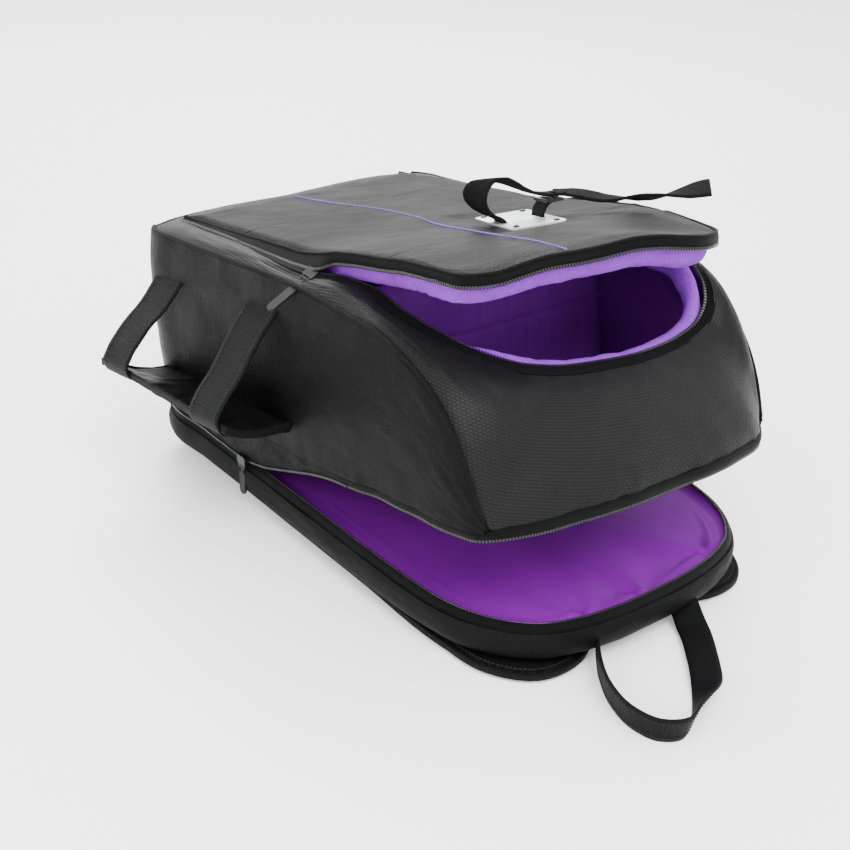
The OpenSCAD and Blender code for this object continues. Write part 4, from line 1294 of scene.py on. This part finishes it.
# Where the plate stands on the lid, and how far it is turned
PX, PY, PZ, PLATE_TURN = 28.0, -70.0, 180.6, math.radians(20)
along_p = (X - PX) * math.cos(PLATE_TURN) - (Y - PY) * math.sin(PLATE_TURN)
across_p = (X - PX) * math.sin(PLATE_TURN) + (Y - PY) * math.cos(PLATE_TURN)
off_plate = np.maximum(np.abs(along_p) - 25, np.abs(across_p) - 45)
FLAT = 1 - smooth_step(off_plate, -1, 26)
LH = LH * (1 - FLAT)
TOPH = TOPH * (1 - FLAT) + 1.7 * FLAT
SEGMENTS = (("rear", 0, ROW_A + 1, ("main_body", "lid_rear"), ((0, 229, 0), (0, 214, 0))),
            ("front", ROW_A, ROW_B + 1, ("lid_rear", "lid_front"), ((0, 34, 0), (0, -6, 0))),
            ("tip", ROW_B, NR, ("lid_front", "lid_tip"), ((0, -168, 0), (0, -204, 0))))


def lid_piece(name, grid_of, mat, slot_name, node_kind, thick, out=0.0, flip=False):
    """One layer of the lid, in three pieces cut at its three folds."""
    made = []
    for part, i0, i1, (a, b), (s0, s1) in SEGMENTS:
        g = grid_of(i0, i1)
        o = sheet_mesh(f"{name}_{part}", g, mat, thick, out=out, flip=flip)
        start_, end_ = lid(np.array(s0, float)), lid(np.array(s1, float))
        nodes_ = [f"lid_{part}_{node_kind}"] if node_kind else []
        piece(o, (a, b, start_, end_), slot_name, *nodes_)
        made.append(o)
    return made


TOP_GRID = lid(np.stack([X, Y, LH + TOPH], -1))
lid_piece("lid_cloth", lambda a, b: TOP_GRID[a:b], LEATHER, "outer_fabric", "panel", 2.6)

# The lid's edge: a closed path from the far left round the near end to the far right, cut into the same stretches
left = np.stack([X[:, 0], Y[:, 0], LH[:, 0]], -1)
near = np.stack([X[-1], Y[-1], LH[-1]], -1)
right = np.stack([X[:, -1], Y[:, -1], LH[:, -1]], -1)


def out_of(c, turn_):
    t = np.gradient(c, axis=0)
    t[:, 2] = 0
    t /= np.maximum(np.linalg.norm(t, axis=1, keepdims=True), 1e-9)
    return np.stack([t[:, 1] * turn_, -t[:, 0] * turn_, 0 * t[:, 0]], -1)


tip_line = np.concatenate([left[ROW_B:], near[1:-1], right[ROW_B:][::-1]])
tip_line = even(tip_line, 560)
EDGE_LINES = {"rear": [left[:ROW_A + 1], right[:ROW_A + 1][::-1]],
    "front": [left[ROW_A:ROW_B + 1], right[ROW_A:ROW_B + 1][::-1]],
              "tip": [tip_line]}
for part, i0, i1, (a, b), (s0, s1) in SEGMENTS:
    start_, end_ = lid(np.array(s0, float)), lid(np.array(s1, float))
    for k_, c in enumerate(EDGE_LINES[part]):
        c = even(c, 560 if part == "tip" else max(40, int(length(c) / 1.6)))
        o_dir = out_of(c, 1)
        if (o_dir * (c - np.array([0, 20, 0]))).sum(1).mean() < 0:
            o_dir = -o_dir
        tag = f"{part}_{'left' if k_ == 0 else 'right'}" if part != "tip" else part
        shut = smooth_step(c[:, 1], -30, -4)[:, None]
        reach = np.interp(c[:, 1], [-12, 95, 170, 216], [141.0, 137.2, 133.4, 130.5])[:,
            None] - np.abs(c[:, :1])
        sink = np.interp(c[:, 1], [-12, 95, 170, 216], [-10.6, -5.4, -2.4, -1.2])[:, None] - c[:, 2:]
        rows = [(1.9, -1.2, 0.9, 0.0), (2.3, 0.3, 1.0, 0.1), (1.0, 1.4, 0.9, 0.32), (-1.2, 1.8, 0.7, 0.55),
            (-3.6, 1.6, 0.35, 0.8), (-5.6, 0.9, 0.0, 1.0)]
        g = []
        for h_, w_, crown, f_ in rows:
            open_row = c + o_dir * w_ + np.array([0, 0, h_])
            shut_row = c + o_dir * (reach * f_) + np.array([0, 0, 1.0]) * (sink * f_ + crown + 0.4)
            g.append(open_row * (1 - shut) + shut_row * shut)
        g = np.stack(g, 1)
        g = np.swapaxes(spline(np.swapaxes(g, 0, 1), 12), 0, 1)
        flip_ = bool((normals(g) * o_dir[:, None]).sum() < 0)
        o = sheet_mesh(f"lid_zip_tape_{tag}", lid(g), TAPE, 1.2, out=0.2, flip=flip_)
        piece(o, (a, b, start_, end_), "zip", *([f"lid_{part}_zip"] if k_ == 0 else []))
        e = g[:, -1] + np.array([0, 0, 0.3])
        dn = np.zeros_like(e)
        dn[:, 2] = -1
        dn = dn * (1 - shut) + (o_dir * 0.85 + dn * 0.5) * shut
        up_c = o_dir * (1 - shut) + (o_dir * 0.5 + np.array([0, 0, 0.85])) * shut
        o = coil_on(f"lid_zip_coil_{tag}", lid(e), lid(e + dn) - lid(e), lid(e + up_c) - lid(e))
        piece(o, (a, b, start_, end_), "zip")
        # Piping between the cloth and the tape
        pipe = c + o_dir * 0.4 + np.array([0, 0, 2.6]) - np.array([0, 0, 1.6]) * shut
        o = sweep(f"lid_piping_{tag}", lid(pipe),
            [(1.5 * math.cos(q_), 1.5 * math.sin(q_)) for q_ in np.linspace(0, 2 * math.pi, 9)[:-1]], BINDING)
        piece(o, (a, b, start_, end_), "webbing")


# Fleece-covered padding under the lid, set in from its edge
def pad_grid(a, b):
    cx, cy = X * 0.968, np.where(Y < 0, Y * 0.975, Y - 9 * smooth_step(Y, 150, 229))
    rim_a = np.clip((1 - np.abs(EDGE_X)) / 0.045, 0, 1)[None]
    rim_n = np.clip((NR - 1 - np.arange(NR)) / 8, 0, 1)[:, None]
    rim = np.minimum(rim_a, rim_n)
    depth = -(2.5 + 19.5 * np.sqrt(np.clip(1 - (1 - rim) ** 2, 0, 1))
        * (0.78 + 0.22 * smooth_step(-Y, -40, 60)))
    wav = noise((NR, NA), (44, 26), 151, 3) * (1.1 + 1.4
        * (1 - rim)) + 0.8 * np.sin(np.linspace(0, 90, NR))[:, None] * (1 - rim_a)
    return lid(np.stack([cx, cy, LH + depth + wav * 0.8], -1))[a:b]


for o in lid_piece("lid_fleece", pad_grid, FLEECE, "fleece", "pad", 3.0, flip=True):
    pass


def on_lid(x, y, lift=0.0):
    """A place on the lid's upper face."""
    return lid(np.stack([x, y, lid_height(x, y) + 4.2 + lift], -1))


# Sewn lines on the lid
line = np.array([(-17, 205), (-14, 150), (-4, 68), (-24, -42), (-41, -128), (-49, -187), (-54, -212)], float)
line = np.stack([spline(np.column_stack([line, 0 * line[:, 0]]), 400)[:, i] for i in range(2)], 1)
for part, y0, y1, (a, b), (s0, s1) in (("rear", 118, 300, ("main_body", "lid_rear"), SEGMENTS[0][4]),
                                       ("front", -100, 118, ("lid_rear", "lid_front"), SEGMENTS[1][4]),
                                       ("tip", -300, -100, ("lid_front", "lid_tip"), SEGMENTS[2][4])):
    q = line[(line[:, 1] >= y0) & (line[:, 1] < y1)]
    up_l = on_lid(q[:, 0], q[:, 1], 1.0) - on_lid(q[:, 0], q[:, 1])
    o = stitches(f"lid_stitching_{part}", on_lid(q[:, 0], q[:, 1], 0.5), THREAD_PURPLE, up_l,
        size=(3.4, 1.0, 0.5), pitch=4.2)
    piece(o, (a, b, lid(np.array(s0, float)), lid(np.array(s1, float))), "outer_fabric")

# ---- Hook and loop strap on the plate -----------------------------------------------------------

LOOP_S = [(-17, -4), (-17, 0.5), (-20, 3.5), (-26, 7), (-33, 13), (-37, 21), (-36, 29), (-30, 35), (-20, 36),
    (-8, 32), (4, 25),
          (18, 18.6), (30, 16.6), (40, 16.5)]
SHORT_S = [(17, -4), (17, 1), (19, 6), (24, 11), (30, 12.6)]
TAIL_S = [(-4, 17.6), (8, 16.2), (22, 13.0), (38, 8.6), (64, 5.6), (96, 5.4), (128, 8)]


def over_plate(pts, width, turn_=0.0, seed=1, twist=None, swing=None):
    c = even(np.array([(x, 0, z) for x, z in pts], float), 140)
    w = np.linspace(-0.5, 0.5, 9) * width
    g = np.repeat(c[:, None], 9, 1)
    g[..., 1] = w[None]
    if twist is not None:
        a = np.asarray(twist)
        g[..., 1] = w[None] * np.cos(a)[:, None]
        g[..., 2] += w[None] * np.sin(a)[:, None]
    if swing is not None:
        g[..., 0] -= w[None] * np.sin(swing)[:, None]
        g[..., 1] = w[None] * np.cos(swing)[:, None]
    g[..., 2] += noise((140, 9), (12, 2), seed, 2) * 0.5
    if turn_:
        x0 = g[..., 0].copy()
        y0 = g[..., 1].copy()
        g[..., 0] = x0 * math.cos(turn_) - y0 * math.sin(turn_) + 36
        g[..., 1] = x0 * math.sin(turn_) + y0 * math.cos(turn_)
    x, y = g[..., 0], g[..., 1]
    gx = PX + x * math.cos(PLATE_TURN) + y * math.sin(PLATE_TURN)
    y, z = PY - x * math.sin(PLATE_TURN) + y * math.cos(PLATE_TURN) - FOLD_Y, g[..., 2] + PZ - LID_Z
    return body(np.stack([gx, FOLD_Y + y * math.cos(LID_OPEN) + z * math.sin(LID_OPEN),
                          LID_Z - y * math.sin(LID_OPEN) + z * math.cos(LID_OPEN)], -1))


tw = 0.9 * np.sin(np.linspace(0, 2.6 * math.pi, 140)) * np.linspace(0, 1, 140) ** 0.7
for name, pts, turn_, seed, twist, nodes_ in (("strap_loop", LOOP_S, 0.0, 161, None, ["hook_loop_strap"]),
    ("strap_short_end", SHORT_S, 0.0, 162, None, []),
                                              ("strap_tail", TAIL_S, math.radians(-25), 163, tw * 0.5, [])):
    swing = 1.0 * np.exp(-((np.linspace(0, 1, 140) - 0.42) / 0.17) ** 2) if name == "strap_loop" else None
    g = over_plate(pts, 23, turn_, seed, twist, swing)
    o = sheet_mesh(name, g, FUZZY, 2.6, out=1.3)
    piece(o, "lid_front", "hook_loop", *nodes_)

# ---- CAD parts that stay, with their own finishes ----------------------------------------------

for node, mat in [("mount_plate", PLATE), ("plate_backing", PLATE), ("plate_screws", SCREW),
    ("strap_buckle", PLASTIC)] + \
        [(f"{w}_slider_{s}", SLIDER) for w in ("rear", "front") for s in ("left", "right")] + \
        [(f"{w}_pull_{s}", RUBBER) for w in ("rear", "front") for s in ("left", "right")] + \
        [(f"ladder_lock_{s}", PLASTIC) for s in ("left", "right")]:
    o = frame["nodes"][node]
    o.data.materials.clear()
    o.data.materials.append(mat)
    m = o.modifiers.new("bevel", "BEVEL")
    m.width, m.segments, m.limit_method = 0.0004, 2, "ANGLE"

for o in PADS:
    stuffed(o)

# ---- Floor and light ---------------------------------------------------------------------------

floor_m = Nodes("floor_white", (0.86, 0.86, 0.86), 0.5)
floor_m.tint(floor_m.noise(floor_m.coords(), 3, 2), 0.99, 1.01)
me = bpy.data.meshes.new("floor")
W = 14.0
prof = [(-W, 0), (2.2, 0), (2.9, 0.12), (3.3, 0.5), (3.45, 1.2), (3.5, 6)]
me.from_pydata([(x, y, z) for y, z in prof for x in (-W, W)], [],
    [(2 * i, 2 * i + 1, 2 * i + 3, 2 * i + 2) for i in range(len(prof) - 1)])
me.materials.append(floor_m.m)
me.shade_smooth()
floor = bpy.data.objects.new("floor", me)
bpy.context.scene.collection.objects.link(floor)

world = bpy.data.worlds.new("world")
bpy.context.scene.world = world
world.use_nodes = True
world.node_tree.nodes["Background"].inputs[0].default_value = (1, 1, 1, 1)
world.node_tree.nodes["Background"].inputs[1].default_value = 3.3


def light(name, place, target, size, power, colour=(1, 1, 1)):
    d = bpy.data.lights.new(name, "AREA")
    d.shape, d.size, d.size_y, d.energy, d.color = "RECTANGLE", size[0], size[1], power, colour
    o = bpy.data.objects.new(name, d)
    o.location = place
    o.rotation_euler = (Vector(target) - Vector(place)).to_track_quat("-Z", "Y").to_euler()
    bpy.context.scene.collection.objects.link(o)


light("key", (-0.5, -1.3, 1.9), (0, 0, 0.1), (1.3, 1.0), 70)
light("side", (-1.9, 0.2, 1.0), (0, 0, 0.1), (1.2, 0.8), 30)
light("rim", (0.8, 1.7, 1.5), (0, 0, 0.2), (1.6, 0.6), 60)
